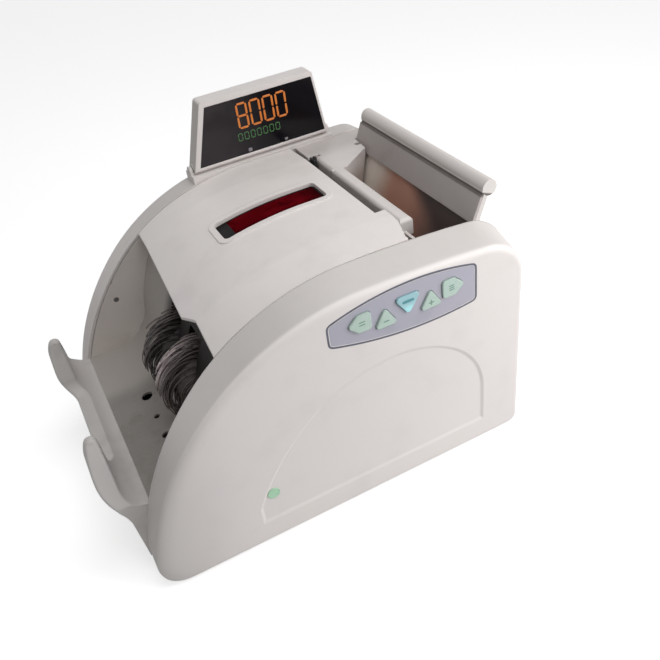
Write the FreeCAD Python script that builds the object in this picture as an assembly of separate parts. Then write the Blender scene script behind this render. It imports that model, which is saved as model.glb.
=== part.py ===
import FreeCAD, Part
import math
import os

V = FreeCAD.Vector
os.makedirs("parts", exist_ok=True)

# Banknote counting machine, in mm. Front (control panel) faces -Y, stacker at -X, hopper at +X.
# Lengths from the left are taken from the nose of the side covers. Lengths from the right are taken from
# a line that lies the end reach inside their other end. Heights start at the lower edge of the side covers.

# Overall
body_length = 335.0
end_reach = 5.0
body_width = 262.0
body_height = 210.0
ground_gap = 3.0
guard_reach = 19.0
note_middle = -11.0

# Side covers and the frames that close them
cover_depth = 28.5
cover_wall = 2.5
cover_roll = 4.5
nose_roll = 14.0
roll_steps = 6
rim_drop = 10.0
rim_fall = 5.0
rim_shoulder = 34.0
rear_rim_drop = 3.0
rear_rim_fall = 1.0
rear_rim_shoulder = 22.0
nose_height = 30.0
nose_lean = 11.0
crest_from_right = 134.0
heel_run = 18.0
toe_round = 9.0
frame_sheet = 3.0
frame_seam = 0.5
arch_depth = 1.2
arch_slope = 2.5
arch_left = 241.0
arch_right = 35.0
arch_peak = 116.0
arch_low = 25.0
arch_drop = 78.0
arch_left_spring = 40.0
arch_right_spring = 60.0
arch_lean = 24.0

# Fasteners and clearances
screw_radius = 1.5
screw_head_radius = 3.0
screw_head_height = 1.8
screw_slack = 0.1
boss_radius = 4.5
boss_bury = 0.5
boss_nose = 30.0
boss_nose_high = 24.0
boss_crown = 112.0
boss_crown_drop = 46.0
boss_heel = 20.0
boss_heel_high = 16.0
boss_shoulder = 13.0
boss_shoulder_drop = 34.0
screw_grip = 9.0
run_gap = 0.05
free_gap = 0.6

# Key overlay and keys, placed from the right end and from the panel line
panel_drop = 35.0
overlay_thick = 0.8
overlay_left = 165.0
overlay_right = 42.0
overlay_left_low = -8.0
overlay_left_high = 8.5
overlay_right_low = -19.0
overlay_right_high = 11.0
overlay_mid = 100.0
overlay_mid_low = -20.5
overlay_mid_high = 19.0
overlay_corner = 3.0
key_proud = 1.6
key_travel = 1.1
key_gap = 0.4
key_depth = 6.0
key_lip = 1.4
key_lip_thick = 1.4
key_lip_gap = 0.1
key_round = 2.4
key_height = 15.0
key_width = 18.0
main_key_width = 21.0
# key outlines, as shares of the width and height, seen from the front
arrow_left = [(-0.55, 0.0), (-0.1, 0.5), (0.5, 0.5), (0.5, -0.5), (-0.1, -0.5)]
arrow_right = [(0.55, 0.0), (0.1, -0.5), (-0.5, -0.5), (-0.5, 0.5), (0.1, 0.5)]
point_up = [(0.0, 0.6), (0.55, -0.5), (-0.55, -0.5)]
point_down = [(0.0, -0.6), (-0.55, 0.5), (0.55, 0.5)]
# each key's name, place from the right end, rise over the panel line, outline and width
keys = [
    ("key_stop", 141.0, 2.0, arrow_left, key_width),
    ("key_minus", 120.0, -2.0, point_up, key_width),
    ("key_start", 101.0, 2.5, point_down, main_key_width),
    ("key_plus", 81.5, -2.0, point_up, key_width),
    ("key_mode", 62.0, 1.0, arrow_right, key_width),
]
board_thick = 1.6
key_board_depth = 12.0
key_board_inset = 6.0
key_board_low = -12.0
key_board_high = 11.0
post_inset = 10.0
post_rise = 8.5
switch_side = 6.0
switch_gap = 0.4
post_radius = 2.5
main_board_left = 206.0
main_board_right = 62.0
main_board_low = 26.0
main_board_high = 84.0
board_post_inset = 6.0
board_stand = 10.0
lamp_from_right = 230.0
lamp_height = 50.5
lamp_radius = 5.0
lamp_sunk = 0.6
lamp_lip = 1.0
lamp_lip_thick = 1.5

# Base
tray_sheet = 3.0
tray_lift = 2.0
tray_flange = 14.0
flange_sheet = 2.0
tray_left = 16.0
tray_left_high = 62.0
foot_radius = 9.0
foot_inset_x = 34.0
foot_inset_y = 20.0
foot_taper = 1.5
end_panel_inset = 4.0
end_panel_drop = 20.0
panel_shelf_grip = 6.0

# Stacker, placed from the left end
stack_sheet = 2.5
stack_edge = 13.0
stack_edge_high = 69.0
stack_flat = 38.0
stack_top = 98.0
stack_top_drop = 50.0
stack_top_lean = 30.0
sensor_line = 45.0
sensor_radii = (5.0, 2.5, 3.5)
sensor_places = (27.0, -3.0, -29.0)
eye_from_left = 53.0
eye_high = 140.0
eye_radius = 3.0

# Stacker guard: heights of its profile, and insets from the side frames
guard_low = 14.0
guard_foot = 1.5
guard_knee = 4.5
guard_knee_high = 55.0
guard_knee_lean = 8.0
guard_widest = 94.0
guard_tip_high = 120.5
guard_tip_back = 4.5
guard_tip_thick = 9.0
guard_tip_lean = 3.0
guard_tip_crown = 2.7
guard_tip_round = 4.0
guard_under = 6.0
guard_ledge_high = 74.0
guard_side_high = 88.0
guard_end_high = 75.0
guard_ledge_inset = 62.0
guard_side_inset = 47.0
guard_tip_inset = 32.5
guard_wall = 3.5
guard_hollow_drop = 4.0
guard_hollow_run = 8.0
guard_soft = 2.0
pocket_width = 8.0
pocket_height = 10.0
pocket_depth = 3.0
pocket_drop = 4.0

# Hopper, placed from the right end
plate_foot = 59.0
plate_foot_drop = 7.0
plate_head = 10.5
plate_head_rise = 18.0
plate_sheet = 4.0
plate_bead = 6.5
plate_end_inset = 19.5
flap_drop = 9.5
flap_thick = 2.5
flap_groove = 1.3
bead_proud = 0.8
wall_foot = 70.0
wall_foot_gap = 3.0
wall_head = 64.5
wall_head_drop = 13.0
wall_sheet = 3.0
bar_width = 12.0
bar_drop = 2.0
bar_root = 4.0
bar_round = 3.5
bar_front_inset = 28.5
bar_rear_inset = 27.5
shelf_reach = 85.0
shelf_drop = 24.0
ledge_inset = 65.5
ledge_corner = 56.0
ledge_slot = 76.0
ledge_slot_inset = 26.0
ledge_back = 25.0
ledge_back_inset = 42.5
ledge_end = 22.7
ledge_gap = 1.0
ledge_drop = 53.0
ledge_eye = 26.5
ledge_eye_inset = 30.5
ledge_eye_radius = 2.5
knob_radius = 3.2
knob_rise = 1.0
knob_lift = 0.3
knob_from_right = 74.5
knob_inset = 35.5
knob_stem = 2.0
knob_stem_length = 14.0
knob_slot = 1.6
knob_slot_depth = 1.4
pad_thick = 2.0
pad_width = 22.0
pad_length = 20.5
pad_gap = 0.5

# Rollers and shafts
shaft_radius = 3.0
bush_radius = 6.0
bush_length = 4.5
roller_spread = 36.0
pickup_radius = 16.0
pickup_width = 16.0
pickup_along = 152.0
pickup_show = 2.0
pickup_gap = 2.0
feed_radius = 22.0
feed_width = 24.0
feed_along = 116.0
feed_gap = 2.5
transport_radius = 13.0
transport_width = 18.0
transport_from_right = 150.0
transport_high = 105.0
guide_sheet = 2.0
guide_gap = 0.8
sensor_bar_width = 16.0
sensor_bar_height = 10.0
sensor_bar_from_right = 186.0
sensor_bar_gap = 2.8
guide_lip = 3.0
guide_lip_drop = 8.0
guide_bend = 16.0
guide_end_gap = 6.0

# Impellers, placed from the left end
impeller_from_left = 92.0
impeller_high = 106.0
impeller_radius = 42.0
impeller_hub = 13.0
impeller_width = 20.0
impeller_spread = 22.5
blade_count = 18
blade_thick = 1.3
blade_sweep = 66.0
blade_root = 1.5
blade_bow = 0.62
blade_inset = 0.5
slot_gap = 3.0

# Drive
motor_from_right = 118.0
motor_high = 42.0
motor_radius = 25.0
motor_length = 78.0
motor_neck = 8.0
motor_round = 3.0
motor_pulley = 9.0
feed_pulley = 18.0
impeller_pulley = 16.0
side_pulley = 12.0
pickup_pulley = 10.0
transport_pulley = 9.0
pulley_width = 6.0
pulley_flange = 1.4
pulley_rim = 0.5
shaft_end = 2.0
belt_width = 4.6
belt_thick = 1.4
belt_gap = 0.3
first_belt = 7.0
second_belt = 14.5

# Top cover
lid_sheet = 2.5
lid_left = 83.5
lid_left_rise = 7.0
lid_left_lean = 36.0
lid_skew = 10.0
lid_nick = 6.5
lid_nick_inset = 56.5
lid_nick_run = 17.0
lid_nick_foot = 87.5
lid_right = 82.0
lid_slot_inset = 45.5
lid_reach = 73.5
lid_corner_inset = 25.5
lid_corner_end = 80.0
lid_corner_end_inset = 4.5
lid_rise = 2.0
lid_cut_drop = 60.0
lid_level = 120.0
lid_bevel = 36.0
window_left = 190.0
window_right = 98.0
window_front = 3.0
window_rear = 32.0
window_corner = 4.0
bezel_width = 5.0
bezel_proud = 1.0
lens_thick = 1.6
lens_margin = 5.0
window_board_drop = 7.0
window_board_margin = 2.0
window_leg = 1.5
window_leg_out = 1.0
hinge_from_right = 93.0
hinge_drop = 8.0
hinge_pin_radius = 2.5
hinge_pin_length = 10.0
lug_width = 7.0
lug_inset = 1.0
lug_half = 5.0
lug_below = 4.5
lug_round = 3.0
lug_bury = 0.5
rest_from_left = 100.0
rest_width = 8.0
rest_height = 10.0
rest_gap = 0.4

# Display pod
pod_thick = 16.0
pod_barrel = 5.0
pod_axis_inset = 18.0
pod_axis_rise = 4.2
pod_low_left = 174.1
pod_low_right = 40.2
pod_high_left = 156.6
pod_high_right = 48.5
pod_height = 59.5
pod_round = 3.0
pod_frame_left = 5.2
pod_frame_right = 2.1
pod_frame_top = 5.0
pod_frame_low = 2.5
pod_lens_thick = 1.6
pod_hollow = 8.0
pod_ledge = 3.0
pod_back_margin = 7.0
pod_back_low = 5.0
pod_back_thick = 1.8
plinth_margin = 2.4
plinth_lip = 3.0
plinth_bury = 9.0
cradle_gap = 0.4
ear_width = 3.0
ear_gap = 0.4
ear_height = 3.6
ear_inset = 3.5
ear_round = 3.4
ear_root = 2.0
pod_pin_end = 0.3
pod_pin_radius = 2.0
pod_pin_grip = 12.0

# Back end
inlet_from_middle = 46.0
inlet_high = 34.0
inlet_width = 27.0
inlet_height = 20.0
inlet_depth = 24.0
inlet_flange = 4.0
inlet_flange_thick = 2.0
inlet_wall = 2.0
inlet_floor = 4.0
inlet_pins = ((-7.0, -2.0), (7.0, -2.0), (0.0, 3.0))
inlet_pin_wide = 2.0
inlet_pin_tall = 4.0
inlet_pin_sunk = 3.0
rocker_from_middle = 8.0
rocker_width = 13.0
rocker_height = 19.0
rocker_depth = 14.0
rocker_swing = 10.0
rocker_sunk = 4.0
rocker_pin = 1.5
rocker_frame = 4.0
rocker_rim = 7.0
rocker_rim_thick = 1.5
rocker_well = 2.0
rocker_tip = 2.5
rocker_dip = 3.5
rocker_trim = 1.5
rocker_heel = 2.0
rocker_pin_end = 0.3
jack_from_middle = -30.0
jack_radius = 6.0
jack_length = 14.0
jack_rim = 2.0
jack_rim_thick = 1.5
jack_wall = 2.0
jack_bore = 7.0
core_length = 46.0
core_width = 54.0
core_height = 40.0
coil_bulge = 8.0
coil_inset = 6.0
coil_round = 4.0
core_from_right = 26.0
core_from_middle = -48.0

left = (guard_reach - body_length) / 2
right = left + body_length - end_reach
half = body_width / 2
inner = half - cover_depth
sill = ground_gap
roller_rows = (note_middle - roller_spread, note_middle + roller_spread)
impeller_rows = (note_middle - impeller_spread, note_middle + impeller_spread)
panel_high = body_height - panel_drop
arch_high = body_height - arch_drop
end_panel_high = body_height - end_panel_drop
stack_top_high = body_height - stack_top_drop
plate_foot_high = feed_along - plate_foot_drop
plate_head_high = body_height + plate_head_rise
flap_low_high = body_height - flap_drop
wall_head_high = body_height - wall_head_drop
bar_high = body_height - bar_drop
shelf_high = body_height - shelf_drop
knob_high = body_height + knob_rise
lid_top = body_height + lid_rise
hinge_high = body_height - hinge_drop
pod_axis_y = half - pod_axis_inset
pod_axis_high = body_height + pod_axis_rise
pod_top = pod_axis_high + pod_height
UP = V(0, 0, 1)
ALONG = V(1, 0, 0)
ACROSS = V(0, 1, 0)


def from_left(along, up, y=0.0):
    return V(left + along, y, sill + up)


def from_right(along, up, y=0.0):
    return V(right - along, y, sill + up)


def on_panel(along, rise, y=0.0):
    return from_right(along, panel_high + rise, y)


def save(name, shape):
    shape.exportStep("parts/" + name + ".step")


def group(shapes):
    return Part.makeCompound(shapes)


def mirrored(shape):
    return shape.mirror(V(0, 0, 0), ACROSS)


def pair(shape):
    return group([shape, mirrored(shape)])


def fused(shapes):
    return shapes[0].multiFuse(shapes[1:]).removeSplitter()


def line(a, b):
    return Part.makeLine(a, b)


def bend(start, heading, end):
    # arc that leaves start along heading and reaches end
    chord = end - start
    side = heading - chord * (heading.dot(chord) / chord.dot(chord))
    turn = heading.getAngle(chord)
    side.normalize()
    middle = (start + end) * 0.5 + side * (chord.Length / 2 * math.tan(turn / 2))
    return Part.Arc(start, middle, end).toShape()


def two_arcs(start, heading, end, arriving):
    # two arcs that meet smoothly and keep both end headings
    span = end - start
    both = heading + arriving
    spread = 2 * (1 - heading.dot(arriving))
    reach = (math.sqrt(span.dot(both) ** 2 + spread * span.dot(span)) - span.dot(both)) / spread
    first = start + heading * reach
    second = end - arriving * reach
    joint = (first + second) * 0.5
    across = second - first
    across.normalize()
    return [bend(start, heading, joint), bend(joint, across, end)]


def lean(degrees):
    angle = math.radians(degrees)
    return V(math.sin(angle), 0, math.cos(angle))


def slab(edges, start_y, end_y):
    face = Part.Face(Part.Wire(edges))
    face.translate(V(0, start_y, 0))
    return face.extrude(V(0, end_y - start_y, 0))


def prism(points, start_y, end_y):
    edges = [line(points[i - 1], points[i]) for i in range(len(points))]
    return slab(edges, start_y, end_y)


def sheet(points, thick, start_y, end_y):
    # bent sheet whose given face runs through the points, with the thickness on its right hand
    count = len(points)
    other = []
    for i in range(count):
        ahead = points[min(i + 1, count - 1)] - points[min(i, count - 2)]
        behind = points[max(i, 1)] - points[max(i - 1, 0)]
        ahead.normalize()
        behind.normalize()
        normal_a = V(ahead.z, 0, -ahead.x)
        normal_b = V(behind.z, 0, -behind.x)
        both = normal_a + normal_b
        other.append(points[i] + both * (2 * thick / both.dot(both)))
    return prism(points + other[::-1], start_y, end_y)


def column(outline, low, high):
    # upright prism over an outline seen from above
    points = [V(x, y, low) for x, y in outline]
    face = Part.Face(Part.makePolygon(points + points[:1]))
    return face.extrude(V(0, 0, high - low))


def block(low, high):
    size = high - low
    return Part.makeBox(size.x, size.y, size.z, low)


def rod(centre, radius, start_y, end_y):
    return Part.makeCylinder(radius, end_y - start_y, V(centre.x, start_y, centre.z), ACROSS)


def ring(centre, radius, bore, start_y, end_y):
    return rod(centre, radius, start_y, end_y).cut(rod(centre, bore, start_y, end_y))


def round_across(shape, radius):
    # rounds the straight edges that run along Y
    edges = [e for e in shape.Edges if runs_across(e)]
    return shape.makeFillet(radius, edges)


def runs_across(edge):
    run = edge.lastVertex().Point - edge.firstVertex().Point
    return abs(abs(run.y) - run.Length) < 1e-6 and run.Length > 0.1


def side_wire(depth, inset, nose_inset, rim):
    # outline of a side cover at a depth outwards from its inner plane, on the front side;
    # a rim is its drop outwards, its fall towards the right end and the round of its shoulder
    drop, fall, shoulder_round = rim
    y = -inner - depth
    crown = body_height - inset - drop * depth / cover_depth
    nose = V(left + nose_inset, y, sill + nose_height)
    rise = lean(nose_lean)
    level = V(right - crest_from_right, y, sill + crown)
    shoulder = shoulder_round - inset
    toe = toe_round - inset
    end = right + end_reach - inset
    floor = sill + inset
    heel = V(left + heel_run + nose_inset, y, floor)
    shoulder_a = V(end - shoulder, y, sill + crown - fall)
    shoulder_b = V(end, y, shoulder_a.z - shoulder)
    tilt = 2 * math.atan2(fall, shoulder_a.x - level.x)
    toe_a = V(end, y, floor + toe)
    toe_b = V(end - toe, y, floor)
    edges = two_arcs(heel, -ALONG, nose, rise)
    edges += two_arcs(nose, rise, level, ALONG)
    edges.append(bend(level, ALONG, shoulder_a))
    edges += two_arcs(shoulder_a, V(math.cos(tilt), 0, -math.sin(tilt)), shoulder_b, -UP)
    edges.append(line(shoulder_b, toe_a))
    edges.append(bend(toe_a, -UP, toe_b))
    edges.append(line(toe_b, heel))
    return Part.Wire(edges)


def side_slab(depth_in, depth_out, inset, nose_inset, rim):
    wires = [side_wire(depth, inset, nose_inset, rim) for depth in (depth_in, depth_out)]
    return Part.makeLoft(wires, True, True)


roll_start = cover_depth - cover_roll
front_rim = (rim_drop, rim_fall, rim_shoulder)
rear_rim = (rear_rim_drop, rear_rim_fall, rear_rim_shoulder)


def solid_cover(rim):
    # slab with a rolled edge that is wider at the nose
    roll_wires = []
    for step in range(roll_steps + 1):
        turn = math.pi / 2 * step / roll_steps
        share = 1 - math.cos(turn)
        roll_depth = roll_start + cover_roll * math.sin(turn)
        roll_wires.append(side_wire(roll_depth, cover_roll * share, nose_roll * share, rim))
    return side_slab(0, roll_start, 0, 0, rim).fuse(Part.makeLoft(roll_wires, True, False))


def arch_wire(grow, y):
    # outline of the shallow arch in the cover's flat face
    foot_a = from_right(arch_left + grow, arch_low - grow, y)
    spring_a = from_right(arch_left + grow, arch_left_spring, y)
    peak = from_right(arch_peak, arch_high + grow, y)
    spring_b = from_right(arch_right - grow, arch_right_spring, y)
    foot_b = from_right(arch_right - grow, arch_low - grow, y)
    edges = [line(foot_a, spring_a)]
    edges += two_arcs(spring_a, lean(arch_lean), peak, ALONG)
    edges += two_arcs(peak, ALONG, spring_b, -UP)
    edges += [line(spring_b, foot_b), line(foot_b, foot_a)]
    return Part.Wire(edges)


boss_spots = [from_left(boss_nose, boss_nose_high),
              from_left(boss_crown, body_height - boss_crown_drop),
              from_right(boss_heel, boss_heel_high),
              from_right(boss_shoulder, body_height - boss_shoulder_drop)]
boss_out = -half + cover_wall - boss_bury
frame_out = -inner - frame_sheet


def side_cover(rim):
    # cover on the front side: hollow, with a shallow arch in its face and a boss for each screw
    hollow = side_slab(0, roll_start, cover_wall, cover_wall, rim)
    hollow = hollow.fuse(side_slab(roll_start, cover_depth - cover_wall, cover_roll, nose_roll, rim))
    arch = [arch_wire(2 * arch_slope, -half - arch_depth), arch_wire(0, -half + arch_depth)]
    cover = solid_cover(rim).cut(hollow).cut(Part.makeLoft(arch, True, True))
    for spot in boss_spots:
        cover = cover.fuse(rod(spot, boss_radius, boss_out, frame_out))
        cover = cover.cut(rod(spot, screw_radius + screw_slack, frame_out - screw_grip - 1, frame_out))
    return cover


# Shaft places
plate_run = from_right(plate_head, plate_head_high) - from_right(plate_foot, plate_foot_high)
plate_run.normalize()
plate_face = V(-plate_run.z, 0, plate_run.x)


def on_plate(up):
    # point of the hopper plate's note face at a height
    foot = from_right(plate_foot, plate_foot_high)
    return foot + plate_run * ((sill + up - foot.z) / plate_run.z)


pickup_axis = on_plate(pickup_along) - plate_face * (pickup_radius - pickup_show)
feed_axis = on_plate(feed_along) + plate_face * (feed_radius + feed_gap)
transport_axis = from_right(transport_from_right, transport_high)
impeller_axis = from_left(impeller_from_left, impeller_high)
motor_axis = from_right(motor_from_right, motor_high)
lid_axis = from_right(hinge_from_right, hinge_high)
shaft_axes = [pickup_axis, feed_axis, transport_axis, impeller_axis]


# Side frames
def side_frame(rim):
    inset = cover_wall + frame_seam
    frame = side_slab(0, frame_sheet, inset, inset, rim)
    holes = [(axis, bush_radius) for axis in shaft_axes]
    holes += [(spot, screw_radius + screw_slack) for spot in boss_spots]
    holes.append((lid_axis, hinge_pin_radius + run_gap))
    holes.append((from_left(eye_from_left, eye_high), eye_radius))
    for spot, radius in holes:
        frame = frame.cut(rod(spot, radius, frame_out - 1, -inner + 1))
    return frame


main_board_y = frame_out - board_stand
front_frame = side_frame(front_rim)
for along in (main_board_left - board_post_inset, main_board_right + board_post_inset):
    for up in (main_board_low + board_post_inset, main_board_high - board_post_inset):
        front_frame = front_frame.fuse(rod(from_right(along, up), post_radius, main_board_y, frame_out))
rear_frame = mirrored(side_frame(rear_rim))
rear_frame = rear_frame.cut(rod(motor_axis, motor_neck + screw_slack, inner - 1, inner + frame_sheet + 1))
save("front_side_frame", front_frame)
save("rear_side_frame", rear_frame)

screws = []
for spot in boss_spots:
    shank = rod(spot, screw_radius, frame_out - screw_grip, -inner)
    head = rod(spot, screw_head_radius, -inner, -inner + screw_head_height)
    screws.append(shank.fuse(head))
save("cover_screws", group([pair(s) for s in screws]))

bush_bore = shaft_radius + run_gap
bushes = [ring(a, bush_radius, bush_bore, frame_out, frame_out + bush_length) for a in shaft_axes]
save("shaft_bushes", group([pair(b) for b in bushes]))

# Key overlay
corner_a = on_panel(overlay_left, overlay_left_low)
corner_b = on_panel(overlay_left, overlay_left_high)
corner_c = on_panel(overlay_right, overlay_right_high)
corner_d = on_panel(overlay_right, overlay_right_low)
overlay_edges = [line(corner_a, corner_b)]
overlay_edges.append(Part.Arc(corner_b, on_panel(overlay_mid, overlay_mid_high), corner_c).toShape())
overlay_edges.append(line(corner_c, corner_d))
overlay_edges.append(Part.Arc(corner_d, on_panel(overlay_mid, overlay_mid_low), corner_a).toShape())
overlay = round_across(slab(overlay_edges, -half, -half + overlay_thick), overlay_corner)
front_cover = side_cover(front_rim).cut(overlay)


def key_block(centre, outline, width, spread, start_y, end_y):
    points = [centre + V(px * width, 0, pz * key_height) for px, pz in outline]
    flat = round_across(prism(points, start_y, end_y), key_round)
    if spread == 0:
        return flat
    face = min(flat.Faces, key=lambda f: f.CenterOfMass.y)
    grown = face.makeOffset2D(spread)
    return grown.extrude(V(0, end_y - start_y, 0))


key_back = -half + key_depth
key_inside = -half + cover_wall + key_lip_gap
switches = []
for name, along, rise, outline, width in keys:
    centre = on_panel(along, rise)
    hole = key_block(centre, outline, width, key_gap, -half - 1, -half + cover_wall + 1)
    overlay = overlay.cut(hole)
    front_cover = front_cover.cut(hole)
    cap = key_block(centre, outline, width, 0, -half - key_proud, key_back)
    lip = key_block(centre, outline, width, key_lip, key_inside, key_inside + key_lip_thick)
    save(name, cap.fuse(lip).removeSplitter())
    reach = switch_side / 2
    switch_tip = key_back + key_travel + switch_gap
    switches.append(block(V(centre.x - reach, switch_tip, centre.z - reach),
                          V(centre.x + reach, -half + key_board_depth, centre.z + reach)))
save("key_overlay", overlay)

board_front = -half + key_board_depth
key_board = block(on_panel(overlay_left - key_board_inset, key_board_low, board_front),
                  on_panel(overlay_right + key_board_inset, key_board_high, board_front + board_thick))
save("key_board", fused([key_board] + switches))
for along in (overlay_left - post_inset, overlay_right + post_inset):
    for rise in (-post_rise, post_rise):
        post = rod(on_panel(along, rise), post_radius, boss_out, board_front)
        front_cover = front_cover.fuse(post)

lamp_spot = from_right(lamp_from_right, lamp_height)
front_cover = front_cover.cut(rod(lamp_spot, lamp_radius, -half - 1, -half + cover_wall + 1))
lamp_back = -half + cover_wall
lamp = rod(lamp_spot, lamp_radius, -half + arch_depth - lamp_sunk, lamp_back)
lamp = lamp.fuse(rod(lamp_spot, lamp_radius + lamp_lip, lamp_back, lamp_back + lamp_lip_thick))
save("status_lamp", lamp)
save("front_cover", front_cover)
save("rear_cover", mirrored(side_cover(rear_rim)))

# Base tray, feet and end panel
tray_floor = sill + tray_lift
tray_top = tray_floor + tray_sheet
tray = block(V(left + tray_left, -inner, tray_floor), V(right - end_panel_inset, inner, tray_top))
tray = tray.fuse(block(V(left + tray_left, -inner, tray_floor),
                       V(left + tray_left + tray_sheet, inner, sill + tray_left_high)))
flange_starts = (-inner, inner - flange_sheet)
for low_y in flange_starts:
    tray = tray.fuse(block(V(left + tray_left, low_y, tray_floor),
                           V(right - end_panel_inset, low_y + flange_sheet, tray_floor + tray_flange)))
for spot in boss_spots:
    tray = tray.cut(rod(spot, screw_head_radius + free_gap, -inner, -inner + flange_sheet))
    tray = tray.cut(rod(spot, screw_head_radius + free_gap, inner - flange_sheet, inner))
save("base_tray", tray.removeSplitter())

feet = []
for x in (left + foot_inset_x, right - foot_inset_x):
    for y in (-inner + foot_inset_y, inner - foot_inset_y):
        foot = Part.makeCone(foot_radius - foot_taper, foot_radius, tray_floor, V(x, y, 0))
        feet.append(foot)
save("feet", group(feet))

panel_out = right - end_panel_inset
panel_in = panel_out - tray_sheet
panel_top = sill + end_panel_high
end_panel = block(V(panel_in, -inner, tray_top), V(panel_out, inner, panel_top))
shelf_end = on_plate(end_panel_high) - plate_face * plate_sheet
panel_shelf = block(V(shelf_end.x - panel_shelf_grip, -inner, panel_top - tray_sheet),
                    V(panel_out, inner, panel_top))
end_panel = end_panel.fuse(panel_shelf)
for low_y in flange_starts:
    end_panel = end_panel.cut(block(V(panel_in - 1, low_y, tray_floor),
                                    V(panel_out + 1, low_y + flange_sheet, tray_floor + tray_flange)))

# Hopper: leaning chute, with a thicker plate on its upper part that ends in a bead
plate_a = from_right(plate_foot, plate_foot_high)
plate_b = from_right(plate_head, plate_head_high)
plate_back = [plate_b - plate_face * plate_sheet, plate_a - plate_face * plate_sheet]
chute = prism([plate_a, plate_b] + plate_back, -inner, inner)
flap_low = on_plate(flap_low_high)
flap_front = [plate_b + plate_face * flap_thick, flap_low + plate_face * flap_thick]
plate_end = inner - plate_end_inset
flap = prism([flap_low, plate_b] + flap_front, -inner, plate_end)
bead_centre = plate_b + plate_face * (flap_thick + bead_proud - plate_bead)
bead = rod(bead_centre, plate_bead, -inner, plate_end)
groove_spot = flap_front[0] - plate_run * (plate_bead - bead_proud)
flap = flap.fuse(bead).cut(rod(groove_spot, flap_groove, -inner - 1, inner + 1))
chute = chute.cut(bead)
chute = chute.cut(block(V(plate_a.x, plate_end, sill + body_height - ledge_drop),
                        V(right, inner + 1, plate_b.z + plate_bead)))
for y in roller_rows:
    reach = pickup_width / 2 + pickup_gap
    chute = chute.cut(rod(pickup_axis, pickup_radius + pickup_gap, y - reach, y + reach))
panel_clear = [plate_a + plate_face * plate_sheet, plate_b + plate_face * plate_sheet]
end_panel = end_panel.cut(prism(panel_clear + plate_back, -inner - 1, inner + 1))
save("hopper_plate", flap.removeSplitter())
save("hopper_chute", chute)

pads = []
pad_ends = [plate_a, plate_a + plate_run * pad_length]
pad_tops = [pad_ends[1] + plate_face * pad_thick, pad_ends[0] + plate_face * pad_thick]
for y in roller_rows:
    pad = prism(pad_ends + pad_tops, y - pad_width / 2, y + pad_width / 2)
    pads.append(pad.cut(rod(feed_axis, feed_radius + pad_gap, -inner, inner)))
save("separator_pads", group(pads))

# Hopper front wall with its bar, the shelf beside the top cover and the ledge at its rear end
wall_a = V(right - wall_foot, 0, feed_axis.z + feed_radius + wall_foot_gap)
wall_b = from_right(wall_head, wall_head_high)
wall = sheet([wall_b, wall_a], wall_sheet, -inner, inner)
bar_left = wall_b.x - bar_width / 2
bar_top = sill + bar_high
bar = block(V(bar_left, bar_front_inset - inner, sill + wall_head_high - bar_root),
            V(bar_left + bar_width, inner - bar_rear_inset, bar_top))
bar_edges = [e for e in bar.Edges if min(v.Z for v in e.Vertexes) > bar_top - 0.1]
bar = bar.makeFillet(bar_round, bar_edges)
shelf = block(V(right - shelf_reach, -inner, sill + shelf_high - wall_sheet),
              V(wall_b.x - wall_sheet, inner, sill + shelf_high))
ledge_front = inner - ledge_inset
ledge_rear = inner - ledge_back_inset
slot_end = inner - ledge_slot_inset
corner_x = right - ledge_corner
back_x = right - ledge_back
ledge_start = wall_a.x - wall_sheet / 3
ledge_top = column([(bar_left + bar_width / 2, ledge_front), (corner_x, ledge_front), (back_x, ledge_rear),
                    (right - ledge_end, plate_end + ledge_gap), (panel_out, plate_end + ledge_gap),
                    (panel_out, inner), (right - ledge_slot, inner), (right - ledge_slot, slot_end),
                    (bar_left + bar_width / 2, slot_end)],
                   bar_top - wall_sheet, bar_top)
slant = V(back_x - corner_x, ledge_rear - ledge_front, 0)
slant.normalize()
behind = V(-slant.y, slant.x, 0) * wall_sheet
ledge_wall = column([(ledge_start, ledge_front), (corner_x, ledge_front), (back_x, ledge_rear),
                     (back_x + behind.x, ledge_rear + behind.y),
                     (corner_x - slant.y, ledge_front + wall_sheet),
                     (ledge_start, ledge_front + wall_sheet)],
                    sill + body_height - ledge_drop, bar_top)
clear_by = plate_face * (flap_thick + ledge_gap)
ledge_clear = [plate_a + clear_by, plate_b + clear_by]
ledge_clear += [V(right + body_width, 0, plate_b.z), V(right + body_width, 0, plate_a.z)]
ledge = ledge_top.fuse(ledge_wall).cut(prism(ledge_clear, -inner - 1, plate_end + ledge_gap))
ledge = ledge.fuse(block(V(panel_in, plate_end + ledge_gap, panel_top), V(panel_out, inner, bar_top)))
eye_spot = V(right - ledge_eye, inner - ledge_eye_inset, bar_top - 2 * wall_sheet)
ledge = ledge.cut(Part.makeCylinder(ledge_eye_radius, 3 * wall_sheet, eye_spot, UP))
wall = wall.fuse(bar).fuse(shelf).fuse(ledge)
knob_x = right - knob_from_right
knob_y = inner - knob_inset
knob_top = sill + knob_high
shelf_top = sill + shelf_high


def knob_part(radius, low, high):
    return Part.makeCylinder(radius, high - low, V(knob_x, knob_y, low), UP)


stem_low = shelf_top - knob_stem_length
wall = wall.cut(knob_part(knob_stem + run_gap, stem_low, shelf_top + 1))
save("hopper_front_wall", wall.removeSplitter())
knob = knob_part(knob_radius, shelf_top + knob_lift, knob_top)
knob = knob.fuse(knob_part(knob_stem, stem_low, shelf_top + knob_radius))
knob = knob.cut(block(V(knob_x - knob_slot / 2, knob_y - 2 * knob_radius, knob_top - knob_slot_depth),
                      V(knob_x + knob_slot / 2, knob_y + 2 * knob_radius, knob_top + 1)))
save("gap_knob", knob)

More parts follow.
